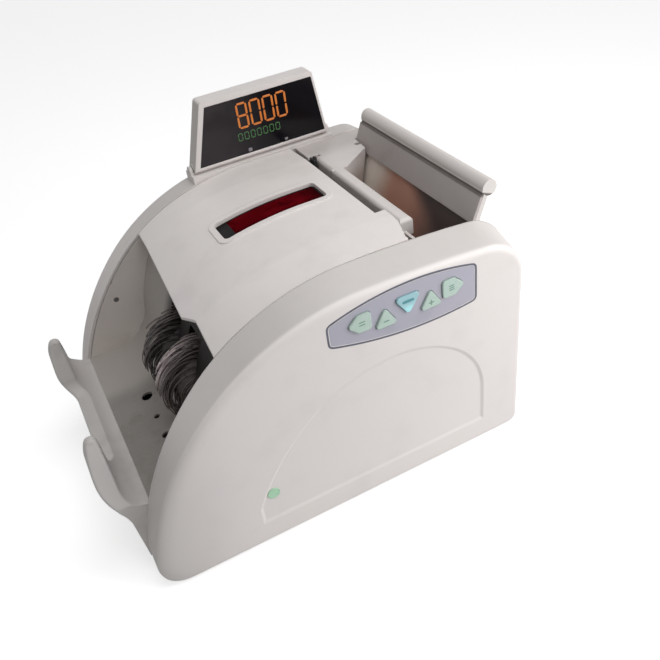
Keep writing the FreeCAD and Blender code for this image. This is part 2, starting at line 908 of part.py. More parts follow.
# Stacker floor that curves up behind the impellers
stack_upper = two_arcs(from_left(stack_flat, stack_edge_high), ALONG,
                       from_left(stack_top, stack_top_high), lean(stack_top_lean))
floor_edge = from_left(stack_edge, stack_edge_high)
stack_line = [line(floor_edge, from_left(stack_flat, stack_edge_high))] + stack_upper
stack_skin = Part.Wire(stack_line).extrude(V(0, 2 * inner, 0))
stack_skin.translate(V(0, -inner, 0))
stack = stack_skin.makeOffsetShape(stack_sheet, 0.001, fill=True)
for y in impeller_rows:
    reach = impeller_width / 2 + slot_gap
    stack = stack.cut(rod(impeller_axis, impeller_radius + slot_gap, y - reach, y + reach))
stack = stack.cut(rod(impeller_axis, bush_radius + free_gap, -inner - 1, -inner + bush_length))
stack = stack.cut(rod(impeller_axis, bush_radius + free_gap, inner - bush_length, inner + 1))
for radius, y in zip(sensor_radii, sensor_places):
    sensor_spot = from_left(sensor_line, stack_edge_high - 2 * stack_sheet, note_middle + y)
    stack = stack.cut(Part.makeCylinder(radius, 6 * stack_sheet, sensor_spot, UP))
save("stacker_floor", stack)

# Stacker guard: scoop edge with two horns, hollow underneath, on the left wall of the tray
root_x = left + tray_left
under_z = floor_edge.z - guard_under
low_z = sill + guard_low
guard_out = V(left - guard_reach, 0, sill + guard_widest)
guard_heel = V(left - guard_foot, 0, low_z)
guard_bend = V(left - guard_knee, 0, sill + guard_knee_high)
tip_out = V(guard_out.x + guard_tip_back, 0, sill + guard_tip_high)
tip_in = tip_out + V(guard_tip_thick, 0, 0)
tip_top = (tip_out + tip_in) * 0.5 + V(0, 0, guard_tip_crown)
tip_fall = lean(180 - guard_tip_lean)
profile = [line(V(root_x, 0, under_z), V(root_x, 0, low_z)), line(V(root_x, 0, low_z), guard_heel)]
profile.append(line(guard_heel, guard_bend))
profile += two_arcs(guard_bend, lean(-guard_knee_lean), guard_out, UP)
profile.append(bend(guard_out, UP, tip_out))
profile.append(Part.Arc(tip_out, tip_top, tip_in).toShape())
profile += two_arcs(tip_in, tip_fall, floor_edge, ALONG)
floor_under = V(floor_edge.x, 0, under_z)
profile += [line(floor_edge, floor_under), line(floor_under, V(root_x, 0, under_z))]
guard = slab(Part.__sortEdges__(profile), -inner, inner)

ledge_half = inner - guard_ledge_inset
side_half = inner - guard_side_inset
tip_half = inner - guard_tip_inset


def guard_spot(y, up):
    return V(guard_out.x - 1, y, sill + up)


view = [line(guard_spot(-ledge_half, guard_ledge_high), guard_spot(ledge_half, guard_ledge_high)),
        line(guard_spot(-inner, 0), guard_spot(inner, 0))]
for side in (-1, 1):
    ledge_stop = guard_spot(side * ledge_half, guard_ledge_high)
    side_foot = guard_spot(side * side_half, guard_side_high)
    horn_a = guard_spot(side * (tip_half - guard_tip_round), guard_tip_high)
    horn_top = guard_spot(side * tip_half, guard_tip_high + guard_tip_round)
    horn_b = guard_spot(side * (tip_half + guard_tip_round), guard_tip_high)
    end_top = guard_spot(side * inner, guard_end_high)
    view += [bend(ledge_stop, ACROSS * side, side_foot), line(side_foot, horn_a)]
    view.append(Part.Arc(horn_a, horn_top, horn_b).toShape())
    view += [line(horn_b, end_top), line(end_top, guard_spot(side * inner, 0))]
view_face = Part.Face(Part.Wire(Part.__sortEdges__(view)))
guard = guard.common(view_face.extrude(V(body_length / 2, 0, 0)))
soft_low = sill + guard_ledge_high - 1
soft_edges = [e for e in guard.Edges if e.BoundBox.ZMin > soft_low and abs(e.CenterOfMass.y) < inner - 1]
soft_edges = [e for e in soft_edges if not runs_across(e) or abs(e.CenterOfMass.z - soft_low - 1) < 0.1]
guard = guard.makeFillet(guard_soft, soft_edges)
hollow_top = floor_edge.z - guard_hollow_drop
hollow_right = root_x - guard_wall
guard_hollow = [V(hollow_right, 0, low_z - 1), V(hollow_right, 0, under_z - guard_wall),
                V(floor_edge.x - guard_hollow_run, 0, hollow_top),
                V(guard_bend.x + guard_wall, 0, hollow_top), V(guard_heel.x + guard_wall, 0, low_z - 1)]
guard = guard.cut(prism(guard_hollow, guard_wall - inner, inner - guard_wall))
pocket_top = tip_in.z - pocket_drop
for y in (-tip_half, tip_half):
    guard = guard.cut(block(V(tip_in.x - pocket_depth, y - pocket_width / 2, pocket_top - pocket_height),
                            V(root_x, y + pocket_width / 2, pocket_top)))
save("stacker_guard", guard)

# Note guide under the feed and transport rollers
guide_high = transport_high - transport_radius - guide_gap
guide_points = [from_right(plate_foot + guide_lip, plate_foot_high - guide_lip_drop),
                from_right(plate_foot + guide_bend, guide_high),
                from_left(impeller_from_left + impeller_radius + guide_end_gap, guide_high)]
guide = sheet(guide_points, -guide_sheet, -inner, inner)
save("note_guide", guide)

bar_low = sill + guide_high + sensor_bar_gap
sensor_bar = block(V(right - sensor_bar_from_right, -inner, bar_low),
                   V(right - sensor_bar_from_right + sensor_bar_width, inner, bar_low + sensor_bar_height))
save("count_sensor_bar", sensor_bar)

# Rotating groups
rear_end = inner + second_belt + pulley_width / 2 + shaft_end
front_end = -rear_end


def shaft(axis, start_y, end_y):
    return rod(axis, shaft_radius, start_y, end_y)


def rollers(axis, radius, width):
    return group([ring(axis, radius, shaft_radius, y - width / 2, y + width / 2) for y in roller_rows])


def pulley(axis, radius, middle_y):
    low = middle_y - pulley_width / 2
    high = middle_y + pulley_width / 2
    body = rod(axis, radius, low, high)
    body = body.fuse(rod(axis, radius + pulley_flange, low, low + pulley_rim))
    body = body.fuse(rod(axis, radius + pulley_flange, high - pulley_rim, high))
    return body.removeSplitter()


def bored(shape, axis):
    return shape.cut(rod(axis, shaft_radius, -half, half))


def belt(axis_a, radius_a, axis_b, radius_b, middle_y):
    # open loop round two pulleys, kept a small gap off both
    span = V(axis_b.x - axis_a.x, 0, axis_b.z - axis_a.z)
    length = span.Length
    span.normalize()
    normal = V(-span.z, 0, span.x)
    slope = math.asin((radius_a - radius_b) / length)
    solids = []
    for extra in (belt_gap + belt_thick, belt_gap):
        big = radius_a + extra
        small = radius_b + extra
        up_dir = normal * math.cos(slope) + span * math.sin(slope)
        down_dir = normal * (-math.cos(slope)) + span * math.sin(slope)
        a = V(axis_a.x, 0, axis_a.z)
        b = V(axis_b.x, 0, axis_b.z)
        loop = [line(a + up_dir * big, b + up_dir * small)]
        loop.append(Part.Arc(b + up_dir * small, b + span * small, b + down_dir * small).toShape())
        loop.append(line(b + down_dir * small, a + down_dir * big))
        loop.append(Part.Arc(a + down_dir * big, a - span * big, a + up_dir * big).toShape())
        solids.append(slab(loop, middle_y - belt_width / 2, middle_y + belt_width / 2))
    return solids[0].cut(solids[1])


rear_first = inner + first_belt
rear_second = inner + second_belt
front_first = -rear_first
front_second = -rear_second

pickup_wheel = pulley(pickup_axis, pickup_pulley, front_second)
save("pickup_shaft", fused([shaft(pickup_axis, front_end, inner + frame_sheet), pickup_wheel]))
save("pickup_rollers", rollers(pickup_axis, pickup_radius, pickup_width))
save("feed_shaft", shaft(feed_axis, front_end, rear_end))
save("feed_rollers", rollers(feed_axis, feed_radius, feed_width))
feed_pulleys = [pulley(feed_axis, feed_pulley, rear_first), pulley(feed_axis, side_pulley, front_first),
                pulley(feed_axis, side_pulley, front_second)]
save("feed_pulleys", group([bored(p, feed_axis) for p in feed_pulleys]))
transport_wheel = pulley(transport_axis, transport_pulley, front_first)
save("transport_shaft", fused([shaft(transport_axis, front_end, inner + frame_sheet), transport_wheel]))
save("transport_rollers", rollers(transport_axis, transport_radius, transport_width))
impeller_wheel = pulley(impeller_axis, impeller_pulley, rear_second)
save("impeller_shaft", fused([shaft(impeller_axis, -inner - frame_sheet, rear_end), impeller_wheel]))


def blade(angle, low_y, high_y):
    # swept finger whose two long sides are arcs from the hub to the tip
    sides = []
    start = impeller_hub - blade_root
    for thick in (-blade_thick / 2, blade_thick / 2):
        spots = []
        for part, bow in ((0.0, 0.0), (0.5, blade_bow), (1.0, 1.0)):
            radius = start + (impeller_radius - start) * part
            turn = math.radians(angle + blade_sweep * bow) + thick / radius
            spots.append(impeller_axis + V(radius * math.cos(turn), 0, radius * math.sin(turn)))
        sides.append(spots)
    a, b = sides
    edges = [Part.Arc(*a).toShape(), line(a[2], b[2]), Part.Arc(*b).toShape(), line(b[0], a[0])]
    return slab(Part.__sortEdges__(edges), low_y, high_y)


def impeller(middle_y):
    low = middle_y - impeller_width / 2
    high = middle_y + impeller_width / 2
    wheel = [rod(impeller_axis, impeller_hub, low, high)]
    for i in range(blade_count):
        wheel.append(blade(360.0 / blade_count * i, low + blade_inset, high - blade_inset))
    return bored(fused(wheel), impeller_axis)


save("impeller_front", impeller(impeller_rows[0]))
save("impeller_rear", impeller(impeller_rows[1]))

# Motor on the rear frame
motor = rod(motor_axis, motor_radius, inner - motor_length, inner)
motor_edges = [e for e in motor.Edges if e.CenterOfMass.y < inner - motor_length + 0.1]
motor = motor.makeFillet(motor_round, motor_edges)
motor = motor.cut(rod(motor_axis, shaft_radius + free_gap, inner - motor_length / 2, inner + 1))
motor = motor.fuse(ring(motor_axis, motor_neck, shaft_radius + free_gap, inner, inner + frame_sheet))
save("main_motor", motor)
motor_wheels = [pulley(motor_axis, motor_pulley, y) for y in (rear_first, rear_second)]
save("motor_shaft", fused([shaft(motor_axis, inner - motor_length / 2 + shaft_end, rear_end)] + motor_wheels))
save("motor_belt", belt(feed_axis, feed_pulley, motor_axis, motor_pulley, rear_first))
save("impeller_belt", belt(impeller_axis, impeller_pulley, motor_axis, motor_pulley, rear_second))
save("pickup_belt", belt(feed_axis, side_pulley, pickup_axis, pickup_pulley, front_second))
save("transport_belt", belt(feed_axis, side_pulley, transport_axis, transport_pulley, front_first))

# Main board on the posts of the front frame
main_board = block(from_right(main_board_left, main_board_low, main_board_y - board_thick),
                   from_right(main_board_right, main_board_high, main_board_y))
save("main_board", main_board)

# Transformer on the tray
core_x = right - core_from_right - core_length
core = block(V(core_x, core_from_middle - core_width / 2, tray_top),
             V(core_x + core_length, core_from_middle + core_width / 2, tray_top + core_height))
coil_top = tray_top + core_height - coil_inset
coil = block(V(core_x - coil_bulge, core_from_middle - core_width / 4, tray_top + coil_inset),
             V(core_x + core_length + coil_bulge, core_from_middle + core_width / 4, coil_top))
coil = round_across(coil, coil_round)
save("transformer", group([core.cut(coil), coil]))

# Power inlet, rocker switch and remote display socket on the end panel
inlet_y = inlet_from_middle
inlet_z = sill + inlet_high


def end_block(start_x, end_x, middle_y, wide, high):
    return block(V(start_x, middle_y - wide / 2, inlet_z - high / 2),
                 V(end_x, middle_y + wide / 2, inlet_z + high / 2))


inlet_hole = end_block(panel_in - 1, panel_out + 1, inlet_y, inlet_width, inlet_height)
end_panel = end_panel.cut(inlet_hole)
inlet = end_block(panel_out - inlet_depth, panel_out, inlet_y, inlet_width, inlet_height)
inlet_rim = panel_out + inlet_flange_thick
inlet = inlet.fuse(end_block(panel_out, inlet_rim, inlet_y,
                             inlet_width + inlet_flange, inlet_height + inlet_flange))
inlet = inlet.cut(end_block(panel_out - inlet_depth + inlet_floor, inlet_rim + 1, inlet_y,
                            inlet_width - 2 * inlet_wall, inlet_height - 2 * inlet_wall))
pins = []
for y, z in inlet_pins:
    pin_tip = V(panel_out - inlet_pin_sunk, inlet_y + y, inlet_z + z)
    pin_reach = V(0, inlet_pin_wide / 2, inlet_pin_tall / 2)
    pins.append(block(pin_tip - pin_reach - V(inlet_depth, 0, 0), pin_tip + pin_reach))
    inlet = inlet.cut(pins[-1])
save("power_inlet", group([inlet.removeSplitter()] + pins))

rocker_y = rocker_from_middle
frame_wide = rocker_width + rocker_frame
frame_tall = rocker_height + rocker_frame
end_panel = end_panel.cut(end_block(panel_in - 1, panel_out + 1, rocker_y, frame_wide, frame_tall))
switch_body = end_block(panel_out - rocker_depth, panel_out, rocker_y, frame_wide, frame_tall)
switch_body = switch_body.fuse(end_block(panel_out, panel_out + rocker_rim_thick, rocker_y,
                                         rocker_width + rocker_rim, rocker_height + rocker_rim))
rocker_axis = V(panel_out - rocker_sunk, 0, inlet_z)
rocker_reach = rocker_height / 2
well_floor = rocker_axis.x - rocker_sunk - rocker_well
well_tall = rocker_height + 2 * key_gap
well_mouth = panel_out + 2 * rocker_rim_thick
switch_body = switch_body.cut(end_block(well_floor, well_mouth, rocker_y, rocker_width, well_tall))
pivot_reach = rocker_width / 2 + rocker_pin
bore_reach = pivot_reach + rocker_pin_end
pivot_bore = rod(rocker_axis, rocker_pin + run_gap, rocker_y - bore_reach, rocker_y + bore_reach)
switch_body = switch_body.cut(pivot_bore)
save("power_switch_body", switch_body.removeSplitter())
nose_x = rocker_sunk + rocker_tip
tail = rocker_reach - rocker_trim
rocker_outline = [rocker_axis + V(nose_x - rocker_dip, 0, 0), rocker_axis + V(nose_x, 0, tail),
                  rocker_axis + V(-rocker_heel, 0, tail), rocker_axis + V(-rocker_sunk, 0, 0),
                  rocker_axis + V(-rocker_heel, 0, -tail), rocker_axis + V(nose_x, 0, -tail)]
rocker_half = rocker_width / 2 - key_gap
rocker = prism(rocker_outline, rocker_y - rocker_half, rocker_y + rocker_half)
rocker = rocker.fuse(rod(rocker_axis, rocker_pin, rocker_y - pivot_reach, rocker_y + pivot_reach))
rocker.rotate(rocker_axis, ACROSS, -rocker_swing)
save("power_rocker", rocker.removeSplitter())

jack_spot = V(panel_out, jack_from_middle, inlet_z)
jack_axis = -ALONG
end_panel = end_panel.cut(Part.makeCylinder(jack_radius, 3 * tray_sheet, jack_spot - jack_axis, jack_axis))
jack = Part.makeCylinder(jack_radius, jack_length, jack_spot, jack_axis)
jack_mouth = jack_spot - jack_axis * jack_rim_thick
jack = jack.fuse(Part.makeCylinder(jack_radius + jack_rim, jack_rim_thick, jack_mouth, jack_axis))
jack = jack.cut(Part.makeCylinder(jack_radius - jack_wall, jack_bore + jack_rim_thick, jack_mouth, jack_axis))
save("display_socket", jack)
save("end_panel", end_panel.removeSplitter())


# Top cover: crowned between its two long bevels, flush with the side covers where the bevels end
def lid_wire(y, raised, drop, thick):
    if raised:
        start = V(left + lid_left, y, side_height(lid_left) + lid_left_rise - drop)
        heading = V(math.cos(math.radians(lid_left_lean)), 0, math.sin(math.radians(lid_left_lean)))
        level = V(right - lid_level, y, sill + lid_top - drop)
    else:
        start = V(left + lid_left, y, side_height(lid_left) - drop)
        heading = V(math.cos(side_slope(lid_left)), 0, math.sin(side_slope(lid_left)))
        level = V(right - lid_level, y, sill + body_height - drop)
    fall = V(0, 0, -thick)
    upper = two_arcs(start, heading, level, ALONG)
    end = V(right - lid_reach, y, level.z)
    upper.append(line(level, end))
    lower = two_arcs(start + fall, heading, level + fall, ALONG)
    lower.append(line(level + fall, end + fall))
    return Part.Wire(upper + [line(end, end + fall)] + lower[::-1] + [line(start + fall, start)])


def side_arc_point(along):
    # the rim of the side covers, cut by an upright line
    rim = Part.Wire(two_arcs(V(left, 0, sill + nose_height), lean(nose_lean),
                             V(right - crest_from_right, 0, sill + body_height), ALONG))
    upright = line(V(left + along, 0, sill), V(left + along, 0, sill + 2 * body_height))
    return rim.distToShape(upright)[1][0][0]


def side_height(along):
    return side_arc_point(along).z


def side_slope(along):
    return math.atan2(side_height(along + 0.5) - side_height(along - 0.5), 1.0)


lid_half = inner - free_gap
crest = lid_half - lid_bevel


def lid_shell(drop, thick):
    fold = lid_wire(-crest, True, drop, thick)
    front = Part.makeLoft([lid_wire(-lid_half, False, drop, thick), fold], True, True)
    middle = Part.makeLoft([fold, lid_wire(crest, True, drop, thick)], True, True)
    return fused([front, middle, mirrored(front)])


lid = lid_shell(0, lid_sheet)
cut_low = sill + body_height - lid_cut_drop
cut_tall = sill + lid_top + 2 * bezel_proud - cut_low

# outlines seen from above of what is cut off the lid: beside the slot, its front right corner, its left edge
slot_x = right - lid_right
slot_y = lid_slot_inset - inner
trim_x = right - lid_corner_end
trim_y = lid_corner_inset - inner
edge_x = left + lid_left
nick_y = lid_nick_inset - inner
lid_trims = [[(slot_x, slot_y), (slot_x, half), (right, half), (right, slot_y)],
             [(right - lid_reach, trim_y), (trim_x, lid_corner_end_inset - inner), (trim_x, -half),
              (right, -half), (right, trim_y)],
             [(left, -half), (left + lid_nick_foot, -half), (edge_x + lid_nick, nick_y - lid_nick_run),
              (edge_x, nick_y), (edge_x + lid_skew, half), (left, half)]]
for outline in lid_trims:
    lid = lid.cut(column(outline, cut_low, cut_low + cut_tall))


def window_prism(margin):
    low_x = right - window_left - margin
    high_x = right - window_right + margin
    low_y = note_middle + window_front - margin
    high_y = note_middle + window_rear + margin
    solid = column([(low_x, low_y), (high_x, low_y), (high_x, high_y), (low_x, high_y)],
                   cut_low, cut_low + cut_tall)
    uprights = [e for e in solid.Edges if abs(e.Length - cut_tall) < 1e-6]
    return solid.makeFillet(window_corner + margin, uprights)


bezel = lid_shell(-bezel_proud, bezel_proud).common(window_prism(bezel_width))
lid = lid.fuse(bezel).cut(window_prism(0))
lens = lid_shell(lid_sheet, lens_thick).common(window_prism(lens_margin))
board_level = lid_sheet + lens_thick + window_board_drop
window_board = lid_shell(board_level, board_thick).common(window_prism(window_board_margin))
board_legs = []
for x in (right - window_left, right - window_right):
    for y in (window_front - window_leg_out, window_rear + window_leg_out):
        leg = Part.makeCylinder(window_leg, cut_tall, V(x, note_middle + y, cut_low), UP)
        board_legs.append(lid_shell(lid_sheet + lens_thick, window_board_drop).common(leg))
window_board = window_board.multiFuse(board_legs)
save("window_lens", lens)
save("window_board", window_board.removeSplitter())

lug_out = lid_half - lug_inset
lug = block(V(lid_axis.x - lug_half, -lug_out, lid_axis.z - lug_below),
            V(lid_axis.x + lug_half, -lug_out + lug_width, sill + lid_top))
lug = round_across(lug, lug_round)
lug = lug.common(lid_shell(lid_sheet - lug_bury, lid_cut_drop))
lug = lug.cut(rod(lid_axis, hinge_pin_radius, -half, half))
lid = lid.fuse(lug).fuse(mirrored(lug))
save("top_cover", lid.removeSplitter())
lid_pin = rod(lid_axis, hinge_pin_radius, frame_out, frame_out + hinge_pin_length)
save("cover_pins", pair(lid_pin))

rest_x = left + rest_from_left
rest_top = side_height(rest_from_left - rest_width / 2) - lid_sheet - rest_gap
rest = block(V(rest_x - rest_width / 2, -inner, rest_top - rest_height),
             V(rest_x + rest_width / 2, -inner + rest_width, rest_top))
save("cover_rests", pair(rest))

# Display pod on its plinth
pod_axis = V(0, pod_axis_y, sill + pod_axis_high)
pod_front = pod_axis_y - pod_thick / 2
pod_rear = pod_axis_y + pod_thick / 2


def pod_points(trim_left, trim_right, trim_top, low):
    # trapezoid seen from the front, its sides at the same slope as the pod's
    height = pod_top - pod_axis_high
    left_slope = (pod_low_left - pod_high_left) / height
    right_slope = (pod_high_right - pod_low_right) / height
    high = pod_top - trim_top
    rise_low = low - pod_axis_high
    rise_high = high - pod_axis_high
    return [from_right(pod_low_left - left_slope * rise_low - trim_left, low),
            from_right(pod_low_right + right_slope * rise_low + trim_right, low),
            from_right(pod_low_right + right_slope * rise_high + trim_right, high),
            from_right(pod_low_left - left_slope * rise_high - trim_left, high)]


pod = prism(pod_points(0, 0, 0, pod_axis_high), pod_front, pod_rear)
upper_corners = [e for e in pod.Edges if runs_across(e) and e.CenterOfMass.z > sill + pod_top - 1]
pod = pod.makeFillet(pod_round, upper_corners)
barrel_left = right - pod_low_left
barrel_right = right - pod_low_right


def pod_rod(radius, start_x, end_x):
    return Part.makeCylinder(radius, end_x - start_x, V(start_x, pod_axis_y, pod_axis.z), ALONG)


pod = pod.fuse(pod_rod(pod_barrel, barrel_left, barrel_right)).removeSplitter()
lens_low = pod_axis_high + pod_frame_low
lens_outline = pod_points(pod_frame_left, pod_frame_right, pod_frame_top, lens_low)
pod_lens = prism(lens_outline, pod_front, pod_front + pod_lens_thick)
pod = pod.cut(pod_lens)
hollow_outline = pod_points(pod_frame_left + pod_ledge, pod_frame_right + pod_ledge,
                            pod_frame_top + pod_ledge, lens_low + pod_ledge)
hollow_start = pod_front + pod_lens_thick
hollow_end = hollow_start + pod_hollow
pod = pod.cut(prism(hollow_outline, hollow_start, hollow_end))
pod_board = prism(hollow_outline, hollow_end - board_thick, hollow_end)
back_outline = pod_points(pod_back_margin, pod_back_margin, pod_back_margin, lens_low + pod_back_low)
back_plate = prism(back_outline, pod_rear - pod_back_thick, pod_rear)
pod = pod.cut(back_plate)
pin_left = barrel_left - ear_gap - ear_width
pin_right = barrel_right + ear_gap + ear_width
pin_length = ear_width + ear_gap + pod_pin_grip


def pod_pins(radius, extra):
    reach = pin_length + extra
    return group([pod_rod(radius, pin_left, pin_left + reach), pod_rod(radius, pin_right - reach, pin_right)])


pod = pod.cut(pod_pins(pod_pin_radius + run_gap, pod_pin_end))
save("pod_shell", pod)
save("pod_lens", pod_lens)
save("pod_board", pod_board)
save("pod_back", back_plate)

plinth_front = pod_front - plinth_margin
plinth_rear = pod_rear + plinth_margin
plinth_low = sill + body_height - rear_rim_drop - plinth_bury
plinth_top = pod_axis.z - plinth_lip
plinth = block(V(pin_left, plinth_front, plinth_low), V(pin_right, plinth_rear, plinth_top))
ear_half = pod_thick / 2 - ear_inset
ear_top = pod_axis.z + ear_height
for x in (pin_left, pin_right - ear_width):
    ear = block(V(x, pod_axis_y - ear_half, plinth_top - ear_root),
                V(x + ear_width, pod_axis_y + ear_half, ear_top))
    tops = [e for e in ear.Edges if abs(e.Length - ear_width) < 1e-6 and e.CenterOfMass.z > ear_top - 0.1]
    plinth = plinth.fuse(ear.makeFillet(ear_round, tops))
plinth = plinth.cut(pod_rod(pod_barrel + cradle_gap, barrel_left - ear_gap, barrel_right + ear_gap))
plinth = plinth.cut(mirrored(solid_cover(rear_rim))).cut(pod_pins(pod_pin_radius, 0))
save("pod_plinth", plinth.removeSplitter())
save("pod_pins", pod_pins(pod_pin_radius, 0))
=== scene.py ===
import bmesh
import bpy
import numpy as np
from mathutils import Matrix, Vector


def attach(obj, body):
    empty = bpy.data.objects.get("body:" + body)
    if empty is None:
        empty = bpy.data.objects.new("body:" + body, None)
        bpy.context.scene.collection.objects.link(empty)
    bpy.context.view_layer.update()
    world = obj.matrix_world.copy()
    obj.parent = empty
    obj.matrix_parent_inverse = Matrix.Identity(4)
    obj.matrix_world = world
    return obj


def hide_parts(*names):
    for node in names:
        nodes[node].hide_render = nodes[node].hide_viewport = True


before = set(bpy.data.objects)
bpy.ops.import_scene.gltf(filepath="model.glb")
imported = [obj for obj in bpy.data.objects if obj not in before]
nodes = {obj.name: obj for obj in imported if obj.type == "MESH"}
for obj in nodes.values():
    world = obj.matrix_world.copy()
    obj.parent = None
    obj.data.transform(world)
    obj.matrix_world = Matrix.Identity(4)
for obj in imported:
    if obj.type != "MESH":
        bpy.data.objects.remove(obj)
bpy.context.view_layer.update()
scene = bpy.context.scene
print("frame loaded:", len(nodes), "nodes")

mm = 0.001


def paint(red, green, blue):
    # an 8-bit screen colour as the linear colour the shaders take
    c = np.array([red, green, blue]) / 255.0
    linear = np.where(c <= 0.04045, c / 12.92, ((c + 0.055) / 1.055) ** 2.4)
    return (*[float(v) for v in linear], 1.0)


def put(tree, kind, values=None, **settings):
    # one node with its settings, whose inputs are plain values or sockets to link from
    node = tree.nodes.new(kind)
    for key, value in settings.items():
        setattr(node, key, value)
    for key, value in (values or {}).items():
        if isinstance(value, bpy.types.NodeSocket):
            tree.links.new(value, node.inputs[key])
        else:
            node.inputs[key].default_value = value
    return node


def mix(tree, factor, low, high):
    return put(tree, "ShaderNodeMix", {0: factor, 6: low, 7: high}, data_type="RGBA").outputs[2]


def sums(tree, operation, *values, clamp=False):
    node = put(tree, "ShaderNodeMath", dict(enumerate(values)), operation=operation, use_clamp=clamp)
    return node.outputs[0]


def ramp(tree, value, fromLow, fromHigh, toLow=0.0, toHigh=1.0):
    values = {"Value": value, "From Min": fromLow, "From Max": fromHigh, "To Min": toLow, "To Max": toHigh}
    return put(tree, "ShaderNodeMapRange", values, interpolation_type="SMOOTHSTEP").outputs["Result"]


def noise(tree, vector, scale, detail=2.0, rough=0.5):
    values = {"Vector": vector, "Scale": scale, "Detail": detail, "Roughness": rough}
    return put(tree, "ShaderNodeTexNoise", values).outputs["Fac"]


def dot(tree, first, second):
    node = put(tree, "ShaderNodeVectorMath", {0: first, 1: second}, operation="DOT_PRODUCT")
    return node.outputs["Value"]


def trueNormal(tree):
    return put(tree, "ShaderNodeNewGeometry").outputs["Normal"]


def newGroup(name, inputs, outputs):
    group = bpy.data.node_groups.new(name, "ShaderNodeTree")
    kinds = {"c": "NodeSocketColor", "f": "NodeSocketFloat", "v": "NodeSocketVector"}
    for label, kind in inputs.items():
        group.interface.new_socket(name=label, in_out="INPUT", socket_type=kinds[kind])
    for label, kind in outputs.items():
        group.interface.new_socket(name=label, in_out="OUTPUT", socket_type=kinds[kind])
    return group, group.nodes.new("NodeGroupInput"), group.nodes.new("NodeGroupOutput")


# Fineness of the noises in the shared effects, in waves per metre, and how the effects change the roughness
effects = dict(quick=3.7, speck=0.12, wander=160.0, wearAndHighlight=220.0, dust=60.0, ragged=45.0, dustRough=0.3,
               sheenRough=-0.16, bevelSamples=6)

# softEdge: rounds the look of an edge, and marks it by 1 minus the cosine between rounded and true normal
softEdge, gin, gout = newGroup("softEdge", {"Radius": "f", "Gain": "f"}, {"Normal": "v", "Edge": "f"})
bevel = put(softEdge, "ShaderNodeBevel", {"Radius": gin.outputs["Radius"]}, samples=effects["bevelSamples"])
along = dot(softEdge, bevel.outputs[0], trueNormal(softEdge))
edge = sums(softEdge, "MULTIPLY", sums(softEdge, "SUBTRACT", 1.0, along), gin.outputs["Gain"], clamp=True)
softEdge.links.new(bevel.outputs[0], gout.inputs["Normal"])
softEdge.links.new(edge, gout.inputs["Edge"])

# mouldGrain: slow drift between three near colours, a fine grain for the bump and a wandering roughness
mouldGrain, gin, gout = newGroup(
    "mouldGrain",
    {"Vector": "v", "Base": "c", "Tint": "c", "Shade": "c", "Drift": "f", "Amount": "f", "Grain": "f",
     "Rough": "f", "Spread": "f"},
    {"Color": "c", "Rough": "f", "Height": "f"})
slow = ramp(mouldGrain, noise(mouldGrain, gin.outputs["Vector"], gin.outputs["Drift"], 2.0), 0.38, 0.66)
tinted = mix(mouldGrain, sums(mouldGrain, "MULTIPLY", slow, gin.outputs["Amount"]),
             gin.outputs["Base"], gin.outputs["Tint"])
quickDrift = sums(mouldGrain, "MULTIPLY", gin.outputs["Drift"], effects["quick"])
patch = ramp(mouldGrain, noise(mouldGrain, gin.outputs["Vector"], quickDrift, 3.0), 0.5, 0.75)
shaded = mix(mouldGrain, sums(mouldGrain, "MULTIPLY", patch, gin.outputs["Amount"]),
             tinted, gin.outputs["Shade"])
fine = noise(mouldGrain, gin.outputs["Vector"], gin.outputs["Grain"], 3.0, 0.6)
speck = mix(mouldGrain, ramp(mouldGrain, fine, 0.35, 0.75, 0.0, effects["speck"]),
            shaded, gin.outputs["Shade"])
wander = sums(mouldGrain, "SUBTRACT", noise(mouldGrain, gin.outputs["Vector"], effects["wander"], 4.0), 0.5)
roughOut = sums(mouldGrain, "MULTIPLY_ADD", wander, gin.outputs["Spread"], gin.outputs["Rough"], clamp=True)
mouldGrain.links.new(speck, gout.inputs["Color"])
mouldGrain.links.new(roughOut, gout.inputs["Rough"])
mouldGrain.links.new(fine, gout.inputs["Height"])

# edge wear and highlight: rubs the marked edges towards a second colour, broken up by noise; rubbed wear on
# most surfaces, a painted highlight along the front cover's rim
edgeWearAndHighlight, gin, gout = newGroup(
    "edgeWearAndHighlight", {"Vector": "v", "Color": "c", "WornAndHighlight": "c", "Edge": "f", "Amount": "f"}, {"Color": "c"})
broken = ramp(edgeWearAndHighlight, noise(edgeWearAndHighlight, gin.outputs["Vector"], effects["wearAndHighlight"], 4.0, 0.65), 0.35, 0.7)
mask = sums(edgeWearAndHighlight, "MULTIPLY", gin.outputs["Edge"], broken)
mask = sums(edgeWearAndHighlight, "MULTIPLY", mask, gin.outputs["Amount"], clamp=True)
edgeWearAndHighlight.links.new(mix(edgeWearAndHighlight, mask, gin.outputs["Color"], gin.outputs["WornAndHighlight"]), gout.inputs["Color"])

# dustSettle: a thin dull film on faces that look up, thicker in patches
dustSettle, gin, gout = newGroup(
    "dustSettle", {"Vector": "v", "Color": "c", "Dust": "c", "Rough": "f", "Amount": "f"},
    {"Color": "c", "Rough": "f"})
upward = put(dustSettle, "ShaderNodeSeparateXYZ", {"Vector": trueNormal(dustSettle)}).outputs["Z"]
patches = noise(dustSettle, gin.outputs["Vector"], effects["dust"], 5.0, 0.7)
film = sums(dustSettle, "MULTIPLY", ramp(dustSettle, upward, 0.55, 1.0),
            ramp(dustSettle, patches, 0.3, 0.8))
film = sums(dustSettle, "MULTIPLY", film, gin.outputs["Amount"], clamp=True)
dustSettle.links.new(mix(dustSettle, film, gin.outputs["Color"], gin.outputs["Dust"]), gout.inputs["Color"])
dullness = sums(dustSettle, "MULTIPLY_ADD", film, effects["dustRough"], gin.outputs["Rough"], clamp=True)
dustSettle.links.new(dullness, gout.inputs["Rough"])
